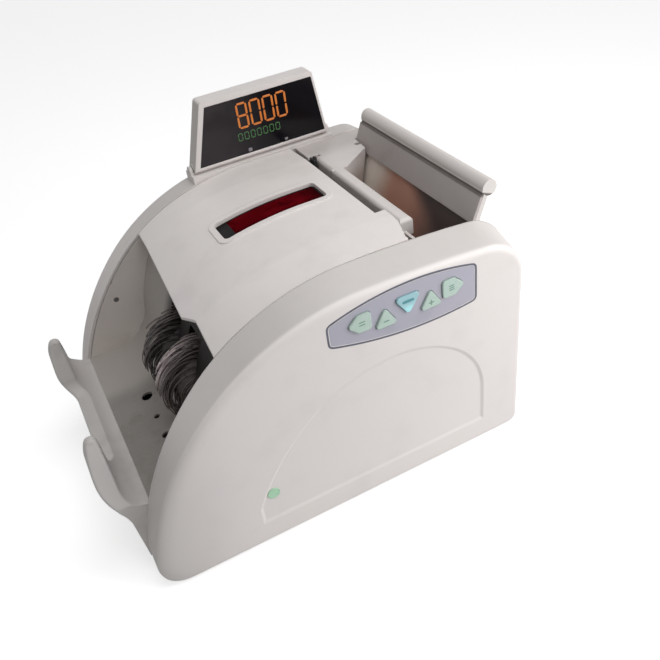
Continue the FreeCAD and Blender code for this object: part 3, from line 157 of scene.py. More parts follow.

# rollSheen: a painted highlight, a paler colour where a rolled edge looks up and to the front, and a
# smoother roughness there
rollSheen, gin, gout = newGroup(
    "rollSheen", {"Color": "c", "Shine": "c", "Rough": "f", "Amount": "f"}, {"Color": "c", "Rough": "f"})
facing = put(rollSheen, "ShaderNodeSeparateXYZ", {"Vector": trueNormal(rollSheen)})
front = sums(rollSheen, "MULTIPLY", facing.outputs["Y"], -1.0)
sheen = ramp(rollSheen, sums(rollSheen, "MINIMUM", front, facing.outputs["Z"]), 0.38, 0.66)
sheen = sums(rollSheen, "MULTIPLY", sheen, gin.outputs["Amount"], clamp=True)
rollSheen.links.new(mix(rollSheen, sheen, gin.outputs["Color"], gin.outputs["Shine"]), gout.inputs["Color"])
polished = sums(rollSheen, "MULTIPLY_ADD", sheen, effects["sheenRough"], gin.outputs["Rough"], clamp=True)
rollSheen.links.new(polished, gout.inputs["Rough"])

# faceShade: leans towards a second colour on faces that look along an axis; painted shade on the covers'
# faces that look up, and the plain pale colour of the chute's back
faceShade, gin, gout = newGroup(
    "faceShade", {"Color": "c", "Shade": "c", "Axis": "v", "Low": "f", "High": "f", "Amount": "f"},
    {"Color": "c"})
toward = dot(faceShade, trueNormal(faceShade), gin.outputs["Axis"])
share = ramp(faceShade, toward, gin.outputs["Low"], gin.outputs["High"])
share = sums(faceShade, "MULTIPLY", share, gin.outputs["Amount"], clamp=True)
faceShade.links.new(mix(faceShade, share, gin.outputs["Color"], gin.outputs["Shade"]), gout.inputs["Color"])

# bandFade: 0 below one place along an axis and 1 above another, smooth between, with a ragged line
bandFade, gin, gout = newGroup(
    "bandFade", {"Vector": "v", "Axis": "v", "Low": "f", "High": "f", "Ragged": "f"}, {"Mask": "f"})
place = dot(bandFade, gin.outputs["Vector"], gin.outputs["Axis"])
ragged = sums(bandFade, "SUBTRACT", noise(bandFade, gin.outputs["Vector"], effects["ragged"], 3.0), 0.5)
place = sums(bandFade, "MULTIPLY_ADD", ragged, gin.outputs["Ragged"], place)
bandFade.links.new(ramp(bandFade, place, gin.outputs["Low"], gin.outputs["High"]), gout.inputs["Mask"])

# turnedMarks: fine rings round a shaft or motor, as a stretched noise along Y
turnedMarks, gin, gout = newGroup("turnedMarks", {"Vector": "v", "Fine": "f"}, {"Value": "f"})
squeezed = put(turnedMarks, "ShaderNodeVectorMath", {0: gin.outputs["Vector"], 1: (0.06, 1.0, 0.06)},
               operation="MULTIPLY").outputs["Vector"]
turnedMarks.links.new(noise(turnedMarks, squeezed, gin.outputs["Fine"], 4.0, 0.7), gout.inputs["Value"])
print("shared effects made")


def useGroup(tree, group, values):
    return put(tree, "ShaderNodeGroup", values, node_tree=group)


edgeGain = 3.0
dustTone = (176, 168, 160)


def finish(name, look):
    # a moulded, painted or rubber surface from one dictionary; bands change colour along an axis,
    # sides on the faces that look along one
    mat = bpy.data.materials.new(name)
    mat.use_nodes = True
    tree = mat.node_tree
    tree.nodes.clear()
    spot = put(tree, "ShaderNodeTexCoord").outputs["Object"]
    soft = useGroup(tree, softEdge, {"Radius": look.get("edge", 0.6) * mm, "Gain": edgeGain})
    grain = useGroup(tree, mouldGrain, {
        "Vector": spot, "Base": paint(*look["color"]), "Tint": paint(*look["tint"]),
        "Shade": paint(*look["shade"]), "Drift": look.get("drift", 9.0), "Amount": look.get("amount", 0.5),
        "Grain": look.get("grain", 1400.0), "Rough": look["rough"], "Spread": look.get("spread", 0.25)})
    color = grain.outputs["Color"]
    for band in look.get("bands", []):
        fade = useGroup(tree, bandFade, {
            "Vector": spot, "Axis": band["axis"], "Low": band["low"] * mm, "High": band["high"] * mm,
            "Ragged": band["ragged"] * mm})
        color = mix(tree, fade.outputs["Mask"], paint(*band["color"]), color)
    # the feather wheels' painted highlight, its share read from a point attribute
    if "bladeHighlight" in look:
        share = put(tree, "ShaderNodeAttribute", attribute_name="bladeHighlight").outputs["Fac"]
        color = mix(tree, share, color, paint(*look["bladeHighlight"]))
    for side in look.get("sides", []):
        color = useGroup(tree, faceShade, {
            "Color": color, "Shade": paint(*side["color"]), "Axis": side["axis"], "Low": side["low"],
            "High": side["high"], "Amount": side["amount"]}).outputs["Color"]
    height = grain.outputs["Height"]
    if "turned" in look:
        marks = useGroup(tree, turnedMarks, {"Vector": spot, "Fine": look["turned"]})
        height = marks.outputs["Value"]
        color = mix(tree, ramp(tree, height, 0.35, 0.7, 0.0, 0.4), color, paint(*look["shade"]))
    wornAndHighlight = useGroup(tree, edgeWearAndHighlight, {
        "Vector": spot, "Color": color, "WornAndHighlight": paint(*look["wornAndHighlight"]), "Edge": soft.outputs["Edge"],
        "Amount": look.get("wearAndHighlight", 0.5)})
    dusty = useGroup(tree, dustSettle, {
        "Vector": spot, "Color": wornAndHighlight.outputs["Color"], "Dust": paint(*look.get("dustColor", dustTone)),
        "Rough": grain.outputs["Rough"], "Amount": look.get("dust", 0.12)})
    if "shine" in look:
        dusty = useGroup(tree, rollSheen, {
            "Color": dusty.outputs["Color"], "Shine": paint(*look["shine"]),
            "Rough": dusty.outputs["Rough"], "Amount": look["highlightAndGloss"]})
    bump = put(tree, "ShaderNodeBump", {
        "Strength": look.get("bump", 0.35), "Distance": look.get("depth", 0.03) * mm, "Height": height,
        "Normal": soft.outputs["Normal"]})
    shader = put(tree, "ShaderNodeBsdfPrincipled", {
        "Base Color": dusty.outputs["Color"], "Roughness": dusty.outputs["Rough"],
        "Normal": bump.outputs[0], "Metallic": look.get("metal", 0.0),
        "Specular IOR Level": look.get("gloss", 0.5)})
    if "glow" in look:
        shader.inputs["Emission Color"].default_value = paint(*look["glow"])
        shader.inputs["Emission Strength"].default_value = look["glowPower"]
    put(tree, "ShaderNodeOutputMaterial", {"Surface": shader.outputs[0]})
    return mat


def dress(material, *names):
    for name in names:
        nodes[name].data.materials.clear()
        nodes[name].data.materials.append(material)


# Pale moulded housing, a little warm with lavender and pink drift
bodyLook = dict(color=(228, 222, 219), tint=(222, 213, 219), shade=(214, 208, 204), wornAndHighlight=(240, 236, 233),
                drift=8.0, amount=0.22, grain=1500.0, rough=0.44, spread=0.22, bump=0.3, depth=0.03,
                edge=1.1, wearAndHighlight=0.35, dust=0.1)
bodyPlastic = finish("bodyPlastic", bodyLook)
dress(bodyPlastic, "pod_plinth", "pod_back", "end_panel")
# the lid is the same moulding painted paler, painted light on its top
topLook = dict(bodyLook, color=(241, 235, 232), tint=(236, 227, 232), dust=0.04)
topPlastic = finish("topPlastic", topLook)
dress(topPlastic, "top_cover")
rearLook = dict(
    bodyLook,
    # painted shade on the rear cover's faces that look up
    sides=[dict(axis=(0, 0, 1), low=0.62, high=0.93, color=(204, 199, 196), amount=0.9)])
rearPlastic = finish("rearPlastic", rearLook)
dress(rearPlastic, "rear_cover")
podLook = dict(
    bodyLook,
    # painted shade on the pod's left side
    bands=[dict(axis=(0.959, 0, -0.282), low=-63.2, high=-62.6, color=(200, 195, 191), ragged=0.0)])
podPlastic = finish("podPlastic", podLook)
dress(podPlastic, "pod_shell")
# the front cover: a little paler than the body, painted light on its front face; its shine is a painted
# highlight on its rolled top edge
frontLook = dict(bodyLook, color=(232, 226, 223), tint=(226, 217, 222), shine=(240, 235, 232), highlightAndGloss=0.6,
                 # its edges are turned to a pale line along the rim's inner edge, a painted highlight
                 wornAndHighlight=(250, 246, 243), wearAndHighlight=0.9, edge=1.5,
                 # painted shade on its faces that look up
                 sides=[dict(axis=(0, 0, 1), low=0.62, high=0.93, color=(206, 201, 198), amount=0.85)],
                 # painted shade towards its left end
                 bands=[dict(axis=(1, 0, 0), low=-168, high=-72, color=(206, 201, 198), ragged=12.0)])
frontPlastic = finish("frontPlastic", frontLook)
dress(frontPlastic, "front_cover")

# The guard is the same moulding in painted shade, greyer, its edges rubbed by hands and notes
guardLook = dict(
    bodyLook, color=(206, 202, 199), tint=(196, 190, 192), shade=(178, 173, 170), wornAndHighlight=(228, 225, 222),
    amount=0.5, wearAndHighlight=0.6, edge=1.6)
guardPlastic = finish("guardPlastic", guardLook)
dress(guardPlastic, "stacker_guard")

# Hopper front wall: pale on top, tan below the ledge and brown near the rollers
hopperWallLook = dict(bodyLook, shade=(205, 196, 190),
                      # darker towards its rear end, painted shade by the pod
                      bands=[dict(axis=(0, -1, 0), low=-86, high=-62, color=(204, 197, 194), ragged=4.0),
                             dict(axis=(0, 0, 1), low=186, high=207, color=(183, 169, 161), ragged=3.0),
                             dict(axis=(0, 0, 1), low=158, high=186, color=(140, 110, 97), ragged=6.0)])
hopperWallPlastic = finish("hopperWallPlastic", hopperWallLook)
dress(hopperWallPlastic, "hopper_front_wall")

# Hopper plate: grey, its bead painted pale as a painted highlight, with a painted shadow line under the
# bead
plateLook = dict(
    color=(186, 179, 176), tint=(178, 169, 167), shade=(166, 157, 154), wornAndHighlight=(202, 195, 191),
    drift=12.0, amount=0.5, grain=1600.0, rough=0.48, edge=0.9, wearAndHighlight=0.5, dust=0.08,
    bands=[
        dict(axis=(-0.377, 0, -0.926), low=-267.6, high=-265.8, color=(112, 104, 100), ragged=0.4),
        dict(axis=(-0.377, 0, -0.926), low=-271.0, high=-269.8, color=(222, 216, 212), ragged=0.3)])
platePlastic = finish("platePlastic", plateLook)
dress(platePlastic, "hopper_plate")

# Chute under the plate: tan at its rear end, red-brown in the middle, dark in front and low down, a painted
# shadow along the plate's lower edge, its end face and its back pale
chuteLook = dict(
    color=(240, 230, 220), tint=(228, 219, 206), shade=(212, 200, 192), wornAndHighlight=(232, 222, 214),
    drift=14.0, amount=0.7, grain=1300.0, rough=0.55, edge=0.8, wearAndHighlight=0.5, dust=0.15,
    bands=[
        dict(axis=(0, 1, 0), low=8, high=48, color=(196, 146, 126), ragged=14.0),
        dict(axis=(0, 1, 0), low=-70, high=-12, color=(92, 80, 80), ragged=12.0),
        dict(axis=(0, 0, 1), low=128, high=176, color=(96, 76, 70), ragged=10.0),
        # painted shadow along the plate's lower edge
        dict(axis=(0, 0.45, -0.893), low=-198, high=-180, color=(74, 62, 60), ragged=4.0),
        dict(axis=(0, 1, 0), low=-102.45, high=-101.9, color=(220, 214, 210), ragged=0.0)],
    sides=[dict(axis=(1, 0, 0), low=0.25, high=0.5, color=(214, 208, 204), amount=1.0)])
chutePlastic = finish("chutePlastic", chuteLook)
dress(chutePlastic, "hopper_chute")

# Inside faces of the side frames: matt grey paint
frameLook = dict(
    color=(170, 166, 160), tint=(158, 151, 147), shade=(148, 141, 136), wornAndHighlight=(196, 193, 188),
    drift=10.0, amount=0.6, grain=900.0, rough=0.58, bump=0.4, depth=0.04, edge=0.7, wearAndHighlight=0.5,
    dust=0.1)
framePaint = finish("framePaint", frameLook)
dress(framePaint, "front_side_frame", "note_guide", "cover_rests")
# the rear side frame: the same paint made paler, painted light on the rear wall
wallLook = dict(
    frameLook, color=(228, 222, 216), tint=(222, 211, 207), shade=(210, 202, 196),
    wornAndHighlight=(236, 231, 226))
wallPaint = finish("wallPaint", wallLook)
dress(wallPaint, "rear_side_frame")

# Stacker floor: darker grey, its edges scuffed by the notes, paler towards the rear, painted shade on its
# wall behind the wheels
floorLook = dict(
    color=(150, 146, 142), tint=(136, 131, 127), shade=(122, 117, 113), wornAndHighlight=(182, 178, 173),
    drift=16.0, amount=0.7, grain=1100.0, rough=0.5, bump=0.35, depth=0.04, edge=0.8, wearAndHighlight=0.6,
    dust=0.2, gloss=0.2,
    bands=[
        # painted shade on the wall behind the feather wheels
        dict(axis=(-1, 0, 0), low=74, high=94, color=(30, 27, 26), ragged=6.0),
        dict(axis=(0, -1, 0), low=-46, high=-22, color=(178, 172, 167), ragged=6.0)])
stackerPlastic = finish("stackerPlastic", floorLook)
dress(stackerPlastic, "stacker_floor")

# Base tray: painted sheet
trayLook = dict(
    color=(150, 150, 149), tint=(142, 141, 140), shade=(126, 125, 124), wornAndHighlight=(190, 189, 187),
    drift=11.0, grain=700.0, rough=0.6, bump=0.5, depth=0.05, edge=0.6, wearAndHighlight=0.7)
trayPaint = finish("trayPaint", trayLook)
dress(trayPaint, "base_tray")

# Turned steel of the shafts and pins, and zinc of the screws
steelLook = dict(
    color=(196, 196, 198), tint=(186, 186, 190), shade=(150, 150, 154), wornAndHighlight=(220, 220, 222),
    metal=1.0, rough=0.3, spread=0.2, turned=2600.0, bump=0.25, depth=0.02, edge=0.3, wearAndHighlight=0.4,
    dust=0.05)
shaftSteel = finish("shaftSteel", steelLook)
dress(shaftSteel, "feed_shaft", "pickup_shaft", "transport_shaft", "impeller_shaft", "motor_shaft",
      "pod_pins", "cover_pins")
zincLook = dict(
    steelLook, color=(190, 191, 188), tint=(196, 190, 172), shade=(160, 160, 156), turned=1500.0,
    rough=0.36)
screwZinc = finish("screwZinc", zincLook)
dress(screwZinc, "cover_screws")
bronzeLook = dict(
    steelLook, color=(176, 140, 92), tint=(160, 124, 78), shade=(116, 88, 52), wornAndHighlight=(208, 178, 130),
    turned=1800.0, rough=0.42)
bushBronze = finish("bushBronze", bronzeLook)
dress(bushBronze, "shaft_bushes")

# Rollers and pads: red-brown rubber that has been polished by paper
feedLook = dict(
    color=(112, 66, 52), tint=(98, 56, 45), shade=(78, 46, 38), wornAndHighlight=(140, 100, 86), drift=40.0,
    amount=0.7, grain=2200.0, rough=0.68, bump=0.6, depth=0.08, edge=0.6, wearAndHighlight=0.6, dust=0.25,
    dustColor=(150, 128, 118))
feedRubber = finish("feedRubber", feedLook)
dress(feedRubber, "feed_rollers", "pickup_rollers", "separator_pads")
blackRubberLook = dict(
    color=(44, 43, 43), tint=(52, 50, 49), shade=(34, 33, 33), wornAndHighlight=(82, 80, 78), drift=30.0,
    grain=1800.0, rough=0.72, bump=0.55, depth=0.07, edge=0.6, wearAndHighlight=0.6, dust=0.25,
    dustColor=(110, 105, 100))
blackRubber = finish("blackRubber", blackRubberLook)
dress(blackRubber, "transport_rollers", "feet")
beltLook = dict(blackRubberLook, color=(38, 38, 39), tint=(46, 46, 46), grain=3000.0, rough=0.66)
beltRubber = finish("beltRubber", beltLook)
dress(beltRubber, "motor_belt", "impeller_belt", "pickup_belt", "transport_belt")

# Black mouldings
blackLook = dict(
    color=(42, 41, 42), tint=(48, 47, 48), shade=(34, 33, 34), wornAndHighlight=(78, 76, 75), drift=25.0,
    grain=1700.0, rough=0.46, bump=0.35, depth=0.03, edge=0.5, wearAndHighlight=0.6, dust=0.2,
    dustColor=(104, 100, 96))
blackMould = finish("blackMould", blackLook)
dress(blackMould, "count_sensor_bar", "power_inlet", "power_switch_body", "display_socket", "gap_knob",
      "power_rocker", "feed_pulleys")

# Boards, motor and transformer
boardLook = dict(
    color=(36, 92, 58), tint=(30, 82, 52), shade=(46, 112, 70), wornAndHighlight=(160, 150, 96), drift=120.0,
    amount=0.9, grain=900.0, rough=0.4, bump=0.4, depth=0.04, edge=0.4, wearAndHighlight=0.8, dust=0.2)
boardMask = finish("boardMask", boardLook)
dress(boardMask, "key_board", "main_board", "window_board", "pod_board")
motorLook = dict(
    color=(128, 129, 134), tint=(118, 119, 124), shade=(96, 97, 101), wornAndHighlight=(168, 168, 172), metal=0.7,
    rough=0.42, turned=900.0, bump=0.3, depth=0.04, edge=0.7, wearAndHighlight=0.5, dust=0.2)
motorMetal = finish("motorMetal", motorLook)
dress(motorMetal, "main_motor")
coreLook = dict(
    color=(104, 98, 92), tint=(94, 84, 76), shade=(74, 68, 63), wornAndHighlight=(140, 132, 124), metal=0.35,
    drift=30.0, amount=0.7, grain=1300.0, rough=0.55, bump=0.6, depth=0.08, edge=0.6, wearAndHighlight=0.6,
    dust=0.25)
coreMetal = finish("coreMetal", coreLook)
dress(coreMetal, "transformer")

# Printed film of the key panel, and the keys that stand through it
overlayLook = dict(
    color=(176, 175, 188), tint=(184, 178, 190), shade=(163, 164, 176), wornAndHighlight=(204, 203, 212),
    drift=14.0, amount=0.45, grain=1900.0, rough=0.4, spread=0.15, bump=0.2, depth=0.02, edge=0.4,
    wearAndHighlight=0.3, dust=0.05)
overlayFilm = finish("overlayFilm", overlayLook)
dress(overlayFilm, "key_overlay")
keyLook = dict(
    color=(188, 208, 198), tint=(182, 206, 192), shade=(170, 190, 182), wornAndHighlight=(222, 236, 228),
    drift=60.0, amount=0.5, grain=1700.0, rough=0.34, spread=0.15, bump=0.2, depth=0.02, edge=1.3,
    wearAndHighlight=0.6, dust=0.04)
keyMint = finish("keyMint", keyLook)
dress(keyMint, "key_stop", "key_minus", "key_plus", "key_mode")
cyanLook = dict(
    keyLook, color=(184, 240, 246), tint=(172, 236, 244), shade=(164, 220, 228), wornAndHighlight=(220, 246, 250),
    bands=[dict(axis=(0, 0, -1), low=-182, high=-176, color=(160, 202, 210), ragged=0.5)])
keyCyan = finish("keyCyan", cyanLook)
dress(keyCyan, "key_start")

# Lenses
# the pod lens: paler at its left end, a painted reflection, and dark towards the right
podLensLook = dict(
    color=(58, 53, 56), tint=(52, 48, 52), shade=(44, 40, 43), wornAndHighlight=(70, 66, 68), drift=16.0,
    amount=0.6, grain=2400.0, rough=0.16, spread=0.08, bump=0.08, depth=0.01, edge=0.3, wearAndHighlight=0.3,
    dust=0.04, gloss=0.2,
    bands=[dict(axis=(-1, 0, 0), low=-88, high=-14, color=(17, 15, 19), ragged=6.0)])
podGlass = finish("podGlass", podLensLook)
dress(podGlass, "pod_lens")
# the red lens: darker along its front edge, a painted shadow, and darker towards its right end
redLook = dict(
    color=(88, 6, 14), tint=(112, 12, 22), shade=(56, 3, 8), wornAndHighlight=(120, 50, 52), drift=30.0,
    amount=0.8, grain=2400.0, rough=0.16, spread=0.08, bump=0.08, depth=0.01, edge=0.3, wearAndHighlight=0.1,
    dust=0.0, gloss=0.0,
    bands=[
        dict(axis=(0, 1, 0), low=-8, high=4, color=(48, 4, 10), ragged=3.0),
        dict(axis=(-1, 0, 0), low=-76, high=-52, color=(54, 8, 12), ragged=6.0)])
redGlass = finish("redGlass", redLook)
dress(redGlass, "window_lens")
lampLook = dict(
    color=(176, 222, 188), tint=(186, 226, 196), shade=(160, 208, 172), wornAndHighlight=(206, 232, 212),
    drift=80.0, grain=2400.0, rough=0.3, edge=0.6, wearAndHighlight=0.4, dust=0.02)
lampGreen = finish("lampGreen", lampLook)
dress(lampGreen, "status_lamp")
print("finishes laid on the nodes")


def link(name, verts, faces, material, body):
    # a mesh from whole arrays of points and corner numbers, riding on a body
    mesh = bpy.data.meshes.new(name)
    mesh.from_pydata(np.asarray(verts).reshape(-1, 3).tolist(), [], [list(face) for face in faces])
    mesh.materials.append(material)
    mesh.polygons.foreach_set("use_smooth", np.full(len(mesh.polygons), True))
    mesh.validate()
    obj = bpy.data.objects.new(name, mesh)
    scene.collection.objects.link(obj)
    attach(obj, body)
    return obj


def gridFaces(rows, cols, closedRows=False, closedCols=False):
    # corner numbers of the quads of a rows x cols grid
    i = np.arange(rows if closedRows else rows - 1)
    j = np.arange(cols if closedCols else cols - 1)
    a = i[:, None] * cols + j[None, :]
    b = i[:, None] * cols + (j[None, :] + 1) % cols
    c = ((i[:, None] + 1) % rows) * cols + (j[None, :] + 1) % cols
    d = ((i[:, None] + 1) % rows) * cols + j[None, :]
    return np.stack([a, b, c, d], -1).reshape(-1, 4)


def roundedPath(corners, count, softness):
    # closed outline: even steps along the polygon, then a Gaussian low pass in arc length for its corners
    points = np.vstack([corners, corners[:1]])
    run = np.concatenate([[0], np.cumsum(np.linalg.norm(np.diff(points, axis=0), axis=1))])
    at = np.linspace(0, run[-1], count, endpoint=False)
    line = np.interp(at, run, points[:, 0]) + 1j * np.interp(at, run, points[:, 1])
    waves = np.fft.fftfreq(count, run[-1] / count) * 2 * np.pi
    line = np.fft.ifft(np.fft.fft(line) * np.exp(-0.5 * (waves * softness) ** 2))
    return np.stack([line.real, line.imag], 1)


beadSteps = 7


def panelBand(path, inset, width, front, height):
    # bead round a closed outline: S(u, v) = P(u) - N(u) a(v) - Y b(v), a low crown from side to side
    ahead = np.roll(path, -1, 0) - np.roll(path, 1, 0)
    ahead /= np.linalg.norm(ahead, axis=1)[:, None]
    normal = np.stack([ahead[:, 1], -ahead[:, 0]], 1)
    v = np.linspace(0, np.pi, beadSteps)
    across = inset + width * (0.5 - 0.5 * np.cos(v))
    lift = height * np.sin(v) ** 0.5
    flat = path[:, None, :] - normal[:, None, :] * across[None, :, None]
    depth = front - np.broadcast_to(lift, flat.shape[:2])
    verts = np.stack([flat[..., 0], depth, flat[..., 1]], -1)
    return verts, gridFaces(len(path), len(v), closedRows=True)


# Dark line round the key panel
panelEdge = dict(
    left=7.0, right=130.0, middle=72.0, leftLow=170.0, leftHigh=186.5, rightLow=159.0, rightHigh=189.0,
    midLow=157.5, midHigh=197.0, front=-131.0, inset=0.5, width=1.7, height=0.12, softness=1.6,
    count=420, arcSteps=60)


def throughThree(a, b, c, count):
    # circle arc through three points, as even steps of angle
    (ax, az), (bx, bz), (cx, cz) = a, b, c
    d = 2 * (ax * (bz - cz) + bx * (cz - az) + cx * (az - bz))
    ux = ((ax**2 + az**2) * (bz - cz) + (bx**2 + bz**2) * (cz - az) + (cx**2 + cz**2) * (az - bz)) / d
    uz = ((ax**2 + az**2) * (cx - bx) + (bx**2 + bz**2) * (ax - cx) + (cx**2 + cz**2) * (bx - ax)) / d
    turn = np.unwrap(np.arctan2([az - uz, bz - uz, cz - uz], [ax - ux, bx - ux, cx - ux]))
    angle = np.linspace(turn[0], turn[2], count)
    radius = np.hypot(ax - ux, az - uz)
    return np.stack([ux + radius * np.cos(angle), uz + radius * np.sin(angle)], 1)


def overlayOutline(p):
    upper = throughThree((p["left"], p["leftHigh"]), (p["middle"], p["midHigh"]),
                         (p["right"], p["rightHigh"]), p["arcSteps"])
    lower = throughThree((p["right"], p["rightLow"]), (p["middle"], p["midLow"]),
                         (p["left"], p["leftLow"]), p["arcSteps"])
    return roundedPath(np.vstack([upper, lower]), p["count"], p["softness"])


slateLook = dict(
    color=(96, 98, 112), tint=(104, 104, 120), shade=(82, 84, 96), wornAndHighlight=(126, 126, 138), drift=40.0,
    grain=2000.0, rough=0.42, edge=0.2, wearAndHighlight=0.2, dust=0.04)
slateInk = finish("slateInk", slateLook)
verts, faces = panelBand(overlayOutline(panelEdge), panelEdge["inset"], panelEdge["width"],
                         panelEdge["front"], panelEdge["height"])
link("panelOutline", verts * mm, faces, slateInk, "chassis")

# Rings round the keys and small marks on them
keySet = dict(
    front=-131.0, proud=1.6, width=18.0, mainWidth=21.0, height=15.0, gap=0.45, ring=1.3,
    ringHeight=0.1, print=0.02, count=160, softness=1.5,
    left=np.array([(-0.55, 0.0), (-0.1, 0.5), (0.5, 0.5), (0.5, -0.5), (-0.1, -0.5)]),
    right=np.array([(0.55, 0.0), (0.1, -0.5), (-0.5, -0.5), (-0.5, 0.5), (0.1, 0.5)]),
    up=np.array([(0.0, 0.6), (0.55, -0.5), (-0.55, -0.5)]),
    down=np.array([(0.0, -0.6), (-0.55, 0.5), (0.55, 0.5)]))
keyPlaces = {"key_stop": (31.0, 180.0, "left"), "key_minus": (52.0, 176.0, "up"),
             "key_start": (71.0, 180.5, "down"), "key_plus": (90.5, 176.0, "up"),
             "key_mode": (110.0, 179.0, "right")}
ringLook = dict(
    color=(108, 116, 128), tint=(100, 112, 120), shade=(92, 100, 112), wornAndHighlight=(134, 140, 150),
    drift=60.0, grain=2000.0, rough=0.45, edge=0.2, wearAndHighlight=0.2, dust=0.04)
ringInk = finish("ringInk", ringLook)
markLook = dict(
    color=(118, 152, 138), tint=(126, 158, 142), shade=(104, 136, 124), wornAndHighlight=(140, 168, 156),
    drift=90.0, grain=2200.0, rough=0.45, edge=0.1, wearAndHighlight=0.1, dust=0.03)
markInk = finish("markInk", markLook)
cyanMarkLook = dict(
    markLook, color=(86, 148, 160), tint=(92, 156, 166), shade=(76, 132, 144), wornAndHighlight=(110, 166, 176))
cyanMarkInk = finish("cyanMarkInk", cyanMarkLook)


def keyOutline(kind, x, z, width):
    shape = keySet[kind] * np.array([width, keySet["height"]])
    area = np.sum(shape[:, 0] * np.roll(shape[:, 1], -1) - np.roll(shape[:, 0], -1) * shape[:, 1])
    shape = shape if area < 0 else shape[::-1]  # clockwise seen from the front, so the band grows outwards
    return roundedPath(shape + np.array([x, z]), keySet["count"], keySet["softness"])


# marks are short bars on the key's face, each its centre, half length, half height and turn in degrees
keyMarks = {"key_stop": [(1.5, 1.2, 2.6, 0.5, 0), (1.5, -1.2, 2.6, 0.5, 0)],
            "key_minus": [(0, -2.6, 2.4, 0.6, 0)],
            "key_start": [(0, 2.6, 5.0, 1.3, 0)],
            "key_plus": [(0, -2.6, 2.4, 0.6, 0), (0, -2.6, 2.4, 0.6, 90)],
            "key_mode": [(-1.5, 1.8, 2.4, 0.5, 0), (-1.5, 0.0, 2.4, 0.5, 0), (-1.5, -1.8, 2.4, 0.5, 0)]}


barShape = dict(around=24, rings=5, innermost=0.05, power=0.5)


def bars(spots, front, height, power=barShape["power"]):
    # rounded bars on a face: S(u, v) = C + v (a c|c|^(p-1), b s|s|^(p-1)) with c, s = cos u, sin u,
    # lifted by 1 - v^4
    s = np.array(spots, float)
    u = np.linspace(0, 2 * np.pi, barShape["around"], endpoint=False)
    v = np.linspace(barShape["innermost"], 1, barShape["rings"])
    px = np.sign(np.cos(u)) * np.abs(np.cos(u)) ** power
    pz = np.sign(np.sin(u)) * np.abs(np.sin(u)) ** power
    turn = np.radians(s[:, 4])[:, None, None]
    lx = s[:, 2, None, None] * px[None, :, None] * v
    lz = s[:, 3, None, None] * pz[None, :, None] * v
    x = s[:, 0, None, None] + lx * np.cos(turn) - lz * np.sin(turn)
    z = s[:, 1, None, None] + lx * np.sin(turn) + lz * np.cos(turn)
    y = np.broadcast_to(front - height * (1 - v**4), x.shape)
    quads = gridFaces(len(u), len(v), closedRows=True)
    step = len(u) * len(v)
    faces = (quads[None] + step * np.arange(len(s))[:, None, None]).reshape(-1, 4)[:, ::-1]
    caps = [list(k * step + np.arange(len(u))[::-1] * len(v)) for k in range(len(s))]
    return np.stack([x, y, z], -1).reshape(-1, 3), faces.tolist() + caps


for name, (x, z, kind) in keyPlaces.items():
    width = keySet["mainWidth"] if name == "key_start" else keySet["width"]
    path = keyOutline(kind, x, z, width)
    verts, faces = panelBand(path, -keySet["gap"], -keySet["ring"], keySet["front"], keySet["ringHeight"])
    link(name + "_ring", verts * mm, faces[:, ::-1], ringInk, "chassis")
    spots = [(x + dx, z + dz, a, b, turn) for dx, dz, a, b, turn in keyMarks[name]]
    verts, faces = bars(spots, keySet["front"] - keySet["proud"], keySet["print"])
    ink = cyanMarkInk if name == "key_start" else markInk
    link(name + "_mark", verts * mm, faces, ink, name)
print("key panel dressed")

# Figures on the pod: four large orange digits, a small green row and two pale ticks
figures = dict(front=105.0, height=0.15, ticks=[(53.4, 222.6, 1.9, 1.7, 0), (89.8, 222.2, 1.6, 1.2, 0)])
bigDigits = dict(text="8000", left=47.6, low=244.4, wide=8.8, high=21.8, pitch=12.65, stroke=0.95)
smallDigits = dict(text="0000000", left=44.6, low=233.2, wide=3.7, high=6.4, pitch=6.15, stroke=0.42)
segmentGap = 0.6
segments = {"8": "abcdefg", "0": "abcdef"}
orangeLook = dict(
    color=(204, 116, 44), tint=(212, 132, 58), shade=(176, 88, 30), wornAndHighlight=(216, 140, 74), drift=90.0,
    grain=2400.0, rough=0.4, edge=0.1, wearAndHighlight=0.1, dust=0.0, glow=(236, 120, 34), glowPower=0.13)
orangeGlow = finish("orangeGlow", orangeLook)
greenLook = dict(
    color=(58, 104, 56), tint=(66, 116, 62), shade=(48, 88, 48), wornAndHighlight=(90, 130, 84), drift=90.0,
    grain=2400.0, rough=0.4, edge=0.1, wearAndHighlight=0.1, dust=0.0, glow=(64, 128, 60), glowPower=0.12)
greenGlow = finish("greenGlow", greenLook)
tickLook = dict(
    color=(134, 129, 136), tint=(124, 120, 128), shade=(104, 100, 108), wornAndHighlight=(150, 146, 152),
    drift=90.0, grain=2400.0, rough=0.4, edge=0.1, wearAndHighlight=0.1, dust=0.0)
tickInk = finish("tickInk", tickLook)


def segmentBars(text, left, low, wide, high, pitch, stroke):
    # seven bars of a digit: centre across and up as shares of its box, half length, turn in degrees
    level = 0.5 * wide - segmentGap * stroke
    upright = 0.25 * high - segmentGap * stroke
    parts = {"a": (0.5, 1.0, level, 0), "b": (1.0, 0.75, upright, 90), "c": (1.0, 0.25, upright, 90),
             "d": (0.5, 0.0, level, 0), "e": (0.0, 0.25, upright, 90), "f": (0.0, 0.75, upright, 90),
             "g": (0.5, 0.5, level, 0)}
    spots = []
    for i, digit in enumerate(text):
        for across, up, half, turn in (parts[letter] for letter in segments[digit]):
            spots.append((left + i * pitch + across * wide, low + up * high, half, stroke, turn))
    return spots


for name, spots, ink in (("podDigits", segmentBars(**bigDigits), orangeGlow),
                         ("podRow", segmentBars(**smallDigits), greenGlow),
                         ("podTicks", figures["ticks"], tickInk)):
    verts, faces = bars(spots, figures["front"], figures["height"])
    link(name, verts * mm, faces, ink, "display_pod")
print("pod figures made")

